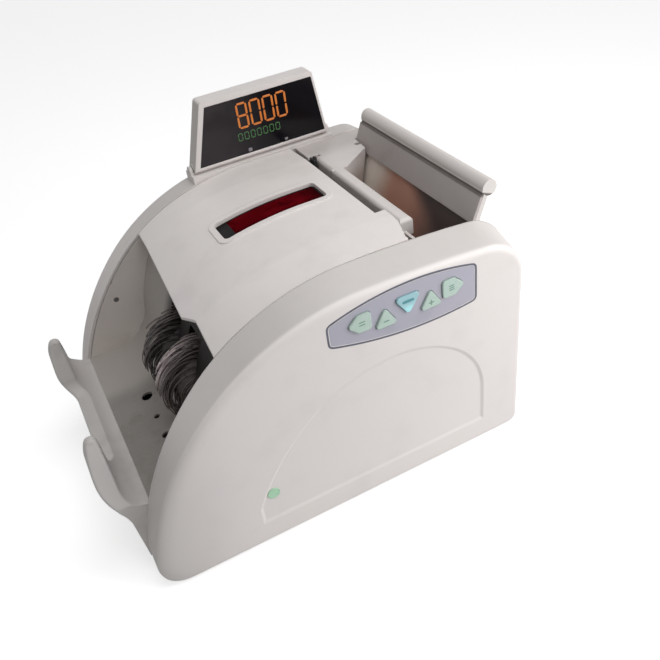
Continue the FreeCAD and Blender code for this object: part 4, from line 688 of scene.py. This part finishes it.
# Black mask inside the window: a border on the lens and a wide black end at its left
windowMask = dict(
    left=-18.0, right=74.0, front=-8.0, rear=21.0, past=1.0, border=1.6, blackEnd=11.0, lift=0.15,
    alongSteps=64, endSteps=20, rightSteps=6, acrossSteps=14, borderSteps=4)


def lensTop(x):
    # height of the lens's upper face along X, read from the node's own points
    data = nodes["window_lens"].data
    points = np.empty(len(data.vertices) * 3, np.float32)
    data.vertices.foreach_get("co", points)
    points = points.reshape(-1, 3) / mm
    keys = np.round(points[:, 0], 1)
    places = np.unique(keys)
    tops = np.array([points[keys == k, 2].max() for k in places])
    return np.interp(x, places, tops)


def maskStrip(x0, x1, y0, y1, nx, ny):
    # patch lying on the lens: S(x, y) = (x, y, lens(x) + lift)
    x = np.linspace(x0, x1, nx)
    y = np.linspace(y0, y1, ny)
    gx, gy = np.meshgrid(x, y, indexing="ij")
    gz = lensTop(x)[:, None] + windowMask["lift"] + 0 * gy
    return np.stack([gx, gy, gz], -1), gridFaces(nx, ny)


maskLook = dict(
    color=(22, 20, 21), tint=(27, 24, 25), shade=(16, 14, 15), wornAndHighlight=(60, 56, 56), drift=50.0,
    grain=2200.0, rough=0.36, edge=0.2, wearAndHighlight=0.2, dust=0.03, gloss=0.06)
maskInk = finish("maskInk", maskLook)
maskLeft, maskRight = windowMask["left"] - windowMask["past"], windowMask["right"] + windowMask["past"]
maskFront, maskRear = windowMask["front"] - windowMask["past"], windowMask["rear"] + windowMask["past"]
strips = [maskStrip(maskLeft, windowMask["left"] + windowMask["blackEnd"], maskFront, maskRear,
                    windowMask["endSteps"], windowMask["acrossSteps"]),
          maskStrip(maskLeft, maskRight, maskFront, windowMask["front"] + windowMask["border"],
                    windowMask["alongSteps"], windowMask["borderSteps"]),
          maskStrip(maskLeft, maskRight, windowMask["rear"] - windowMask["border"], maskRear,
                    windowMask["alongSteps"], windowMask["borderSteps"]),
          maskStrip(windowMask["right"] - windowMask["border"], maskRight, maskFront, maskRear,
                    windowMask["rightSteps"], windowMask["acrossSteps"])]
for number, (verts, faces) in enumerate(strips):
    link("windowMask" + str(number), verts * mm, faces, maskInk, "top_cover")
print("window masked")

# Feather wheels of the stacker: split, trailing rubber blades on a hub
wheelLook = dict(
    color=(92, 84, 81), tint=(106, 97, 93), shade=(60, 56, 57), wornAndHighlight=(124, 115, 112), drift=70.0,
    amount=0.8, grain=2000.0, rough=0.55, bump=0.5, depth=0.06, edge=0.4, wearAndHighlight=0.5, dust=0.15,
    # the pale blade colour is a painted highlight
    dustColor=(120, 112, 110), bladeHighlight=(250, 232, 232))
wheelRubber = finish("wheelRubber", wheelLook)
# the rear wheel is the same rubber painted darker, as painted shade
rearWheelLook = dict(
    wheelLook, color=(66, 60, 58), tint=(78, 71, 68), shade=(44, 41, 41), wornAndHighlight=(96, 89, 87))
rearWheelRubber = finish("rearWheelRubber", rearWheelLook)
wheel = dict(
    x=-66.0, z=109.0, middle=-11.0, spread=22.5, width=20.0, hub=13.0, bore=3.0, reach=41.0, root=11.0,
    blades=22, strips=7, loose=12.0, bow=1.8, thick=1.7, tip=0.5, fan=12.0, trim=0.2, curl=1.6, nu=16,
    nv=8, core=29.0, paleTurn=165.0, paleWidth=70.0, paleFrom=1.5, paleTo=3.5, paleLeast=0.45,
    tipFade=7.0, narrow=0.4, square=0.5, hubRound=1.2, coreStep=3.0, coreRound=2.2, around=64)
wheelSides = {"front": dict(side=-1, sweep=112.0, paleness=1.0, rubber=wheelRubber),
              "rear": dict(side=1, sweep=84.0, paleness=0.1, rubber=rearWheelRubber)}


def scatter(index, seed):
    # unordered values from 0 to 1 for whole numbers: the fraction left over from a large sine
    return np.mod(np.sin(index * 12.9898 + seed * 78.233) * 43758.5453, 1.0)


def featherWheel(middleY, sweepTurn, paleness):
    # blade strips, thinner at the tip: r(u) = root + (length - root)(1 - (1 - u)^bow),
    # turn(u) = start + sweep u
    p = wheel
    index = np.arange(p["blades"] * p["strips"])
    bladeNo, stripNo = index // p["strips"], index % p["strips"]
    u = np.linspace(0, 1, p["nu"])
    v = np.linspace(0, 2 * np.pi, p["nv"], endpoint=False)
    length = p["reach"] * (1 - p["trim"] * scatter(index, middleY) ** 2)
    radius = p["root"] + (length - p["root"])[:, None] * (1 - (1 - u) ** p["bow"])
    start = np.radians(360.0 / p["blades"] * bladeNo + p["fan"] * (scatter(index, 1 + middleY) - 0.5))
    sweep = np.radians(sweepTurn + p["loose"] * (2 * scatter(index, 2 + middleY) - 1))
    turn = start[:, None] + sweep[:, None] * u
    line = np.stack([radius * np.cos(turn), radius * np.sin(turn)], -1)
    ahead = np.gradient(line, axis=1)
    ahead /= np.linalg.norm(ahead, axis=2)[..., None]
    normal = np.stack([-ahead[..., 1], ahead[..., 0]], -1)
    half = 0.5 * (p["thick"] + (p["tip"] - p["thick"]) * u)
    pitch = (p["width"] - p["curl"]) / p["strips"]
    wide = 0.5 * pitch * (1 - p["narrow"] * u**3)
    drift = p["curl"] * (scatter(index, 3 + middleY) - 0.5)[:, None] * u**2
    centreY = middleY + (stripNo - 0.5 * (p["strips"] - 1))[:, None] * pitch + drift
    a = np.sign(np.cos(v)) * np.abs(np.cos(v)) ** p["square"]
    b = np.sign(np.sin(v)) * np.abs(np.sin(v)) ** p["square"]
    flat = line[:, :, None, :] + normal[:, :, None, :] * (half[:, None] * a)[None, :, :, None]
    y = centreY[:, :, None] + wide[None, :, None] * b[None, None, :]
    blades = np.stack([flat[..., 0] + p["x"], y, flat[..., 1] + p["z"]], -1)
    # pale share of each blade: a painted highlight round paleTurn, on the rearward strips, fading near the
    # tip
    away = np.mod(np.degrees(turn) - p["paleTurn"] + 180.0, 360.0) - 180.0
    share = p["paleLeast"] + (1 - p["paleLeast"]) * scatter(index, 4 + middleY)
    pale = share[:, None] * np.exp(-((away / p["paleWidth"]) ** 2))
    rearward = np.clip((stripNo - p["paleFrom"]) / (p["paleTo"] - p["paleFrom"]), 0, 1)
    pale = paleness * pale * rearward[:, None] * np.clip(p["tipFade"] * (1.0 - u), 0, 1)
    quads = gridFaces(p["nu"], p["nv"], closedCols=True)
    step = p["nu"] * p["nv"]
    faces = (quads[None] + step * index[:, None, None]).reshape(-1, 4).tolist()
    tips = step * index[:, None] + (p["nu"] - 1) * p["nv"] + np.arange(p["nv"])[None, ::-1]
    roots = step * index[:, None] + np.arange(p["nv"])[None, :]
    faces += tips.tolist() + roots.tolist()
    # hub and the thick of the blades: a closed profile of radius and place along Y, turned about the shaft
    end = 0.5 * p["width"]
    hubEdge, coreEdge = p["hub"] - p["hubRound"], p["core"] - p["coreStep"]
    hubSide, coreSide = end - p["hubRound"], end - p["coreRound"]
    profile = np.array([(p["bore"], -end), (hubEdge, -end), (p["hub"], -hubSide), (coreEdge, -coreSide),
                        (p["core"], 0.0), (coreEdge, coreSide), (p["hub"], hubSide), (hubEdge, end),
                        (p["bore"], end)])
    ring = np.linspace(0, 2 * np.pi, p["around"], endpoint=False)
    hub = np.stack([profile[None, :, 0] * np.cos(ring)[:, None] + p["x"],
                    middleY + profile[None, :, 1] + 0 * ring[:, None],
                    profile[None, :, 0] * np.sin(ring)[:, None] + p["z"]], -1)
    hubFaces = gridFaces(len(ring), len(profile), True, True) + blades.size // 3
    bladeHighlight = np.concatenate([np.repeat(pale.reshape(-1), p["nv"]), np.zeros(hub.size // 3)])
    return np.vstack([blades.reshape(-1, 3), hub.reshape(-1, 3)]), faces + hubFaces.tolist(), bladeHighlight


def facesOutward(obj):
    # turns the faces of closed shells outwards
    work = bmesh.new()
    work.from_mesh(obj.data)
    bmesh.ops.recalc_face_normals(work, faces=work.faces)
    work.to_mesh(obj.data)
    work.free()


for end, way in wheelSides.items():
    middleY = wheel["middle"] + way["side"] * wheel["spread"]
    verts, faces, bladeHighlight = featherWheel(middleY, way["sweep"], way["paleness"])
    obj = link("featherWheel_" + end, verts * mm, faces, way["rubber"], "impellers")
    shares = obj.data.attributes.new("bladeHighlight", "FLOAT", "POINT")
    shares.data.foreach_set("value", bladeHighlight.astype(np.float32))
    facesOutward(obj)
    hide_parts("impeller_" + end)
print("feather wheels made")

# Dark sensor eye on the rear wall of the stacker
wallEye = dict(x=-103.8, z=123.1, radius=2.5, front=102.5, height=0.3, roundPower=1.0)
eyeSpot = (wallEye["x"], wallEye["z"], wallEye["radius"], wallEye["radius"], 0)
verts, faces = bars([eyeSpot], wallEye["front"], wallEye["height"], wallEye["roundPower"])
eyeLook = dict(
    blackLook, color=(104, 98, 95), tint=(96, 90, 88), shade=(84, 78, 76), wornAndHighlight=(124, 118, 114),
    rough=0.6)
eyeInk = finish("eyeInk", eyeLook)
link("wallEye", verts * mm, faces, eyeInk, "chassis")
print("stacker eye made")

# Floor, backdrop light and camera
stageLook = dict(
    size=8.0, floor=(236, 236, 236), floorRough=0.9, floorGloss=0.1, lift=0.6, ambient=0.29,
    keyPower=2.7, keySize=0.5, keyPlace=(0.52, -0.48, 0.36), keyAim=(0.08, -0.08, 0.12), fillPower=6.0,
    fillSize=0.9, fillPlace=(0.20, -0.30, 1.35), fillAim=(0.0, 0.0, 0.12))
bpy.ops.mesh.primitive_plane_add(size=stageLook["size"])
floor = bpy.context.object
floor.name = "floor"
floorPaint = bpy.data.materials.new("floorPaint")
floorPaint.use_nodes = True
tree = floorPaint.node_tree
shader = tree.nodes["Principled BSDF"]
shader.inputs["Base Color"].default_value = paint(*stageLook["floor"])
shader.inputs["Roughness"].default_value = stageLook["floorRough"]
shader.inputs["Specular IOR Level"].default_value = stageLook["floorGloss"]
shader.inputs["Emission Color"].default_value = (1, 1, 1, 1)
seen = put(tree, "ShaderNodeLightPath")
lifted = sums(tree, "MULTIPLY", seen.outputs["Is Camera Ray"], stageLook["lift"])
tree.links.new(lifted, shader.inputs["Emission Strength"])
floor.data.materials.append(floorPaint)

world = bpy.data.worlds.new("studio")
scene.world = world
world.use_nodes = True
tree = world.node_tree
tree.nodes.clear()
seen = put(tree, "ShaderNodeLightPath")
direct = sums(tree, "MAXIMUM", seen.outputs["Is Camera Ray"],
              sums(tree, "MAXIMUM", seen.outputs["Is Glossy Ray"], seen.outputs["Is Transmission Ray"]))
strength = put(tree, "ShaderNodeMix", {0: direct, 2: stageLook["ambient"], 3: 1.0},
               data_type="FLOAT").outputs[0]
backdrop = put(tree, "ShaderNodeBackground", {"Color": (1, 1, 1, 1), "Strength": strength})
put(tree, "ShaderNodeOutputWorld", {"Surface": backdrop.outputs[0]})


def softbox(name, power, size, place, aim):
    lamp = bpy.data.lights.new(name, "AREA")
    lamp.energy = power
    lamp.size = size
    obj = bpy.data.objects.new(name, lamp)
    scene.collection.objects.link(obj)
    obj.location = place
    obj.rotation_mode = "QUATERNION"
    obj.rotation_quaternion = (Vector(aim) - Vector(place)).to_track_quat("-Z", "Y")


for lamp in ("key", "fill"):
    softbox(lamp + "Box", stageLook[lamp + "Power"], stageLook[lamp + "Size"], stageLook[lamp + "Place"],
            stageLook[lamp + "Aim"])

eye = dict(azimuth=-22.2, elevation=37.55, roll=8.48, focal=751.0, frame=660.0, sensor=36.0,
           place=(-0.14799, -0.51380, 0.50253))
az, el, roll = np.radians([eye["azimuth"], eye["elevation"], eye["roll"]])
look = np.array([-np.sin(az) * np.cos(el), np.cos(az) * np.cos(el), -np.sin(el)])
level = np.cross(look, [0, 0, 1])
level /= np.linalg.norm(level)
down = -np.cross(level, look)
rightWay = np.cos(roll) * level + np.sin(roll) * down
downWay = -np.sin(roll) * level + np.cos(roll) * down
pose = np.eye(4)
pose[:3, :] = np.stack([rightWay, -downWay, -look, np.array(eye["place"])], 1)
lensData = bpy.data.cameras.new("photoEye")
lensData.sensor_width = eye["sensor"]
lensData.lens = eye["focal"] / eye["frame"] * eye["sensor"]
camera = bpy.data.objects.new("photoEye", lensData)
camera.matrix_world = Matrix(pose.tolist())
scene.collection.objects.link(camera)
scene.camera = camera
scene.view_settings.view_transform = "Standard"
print("stage, light and camera set")
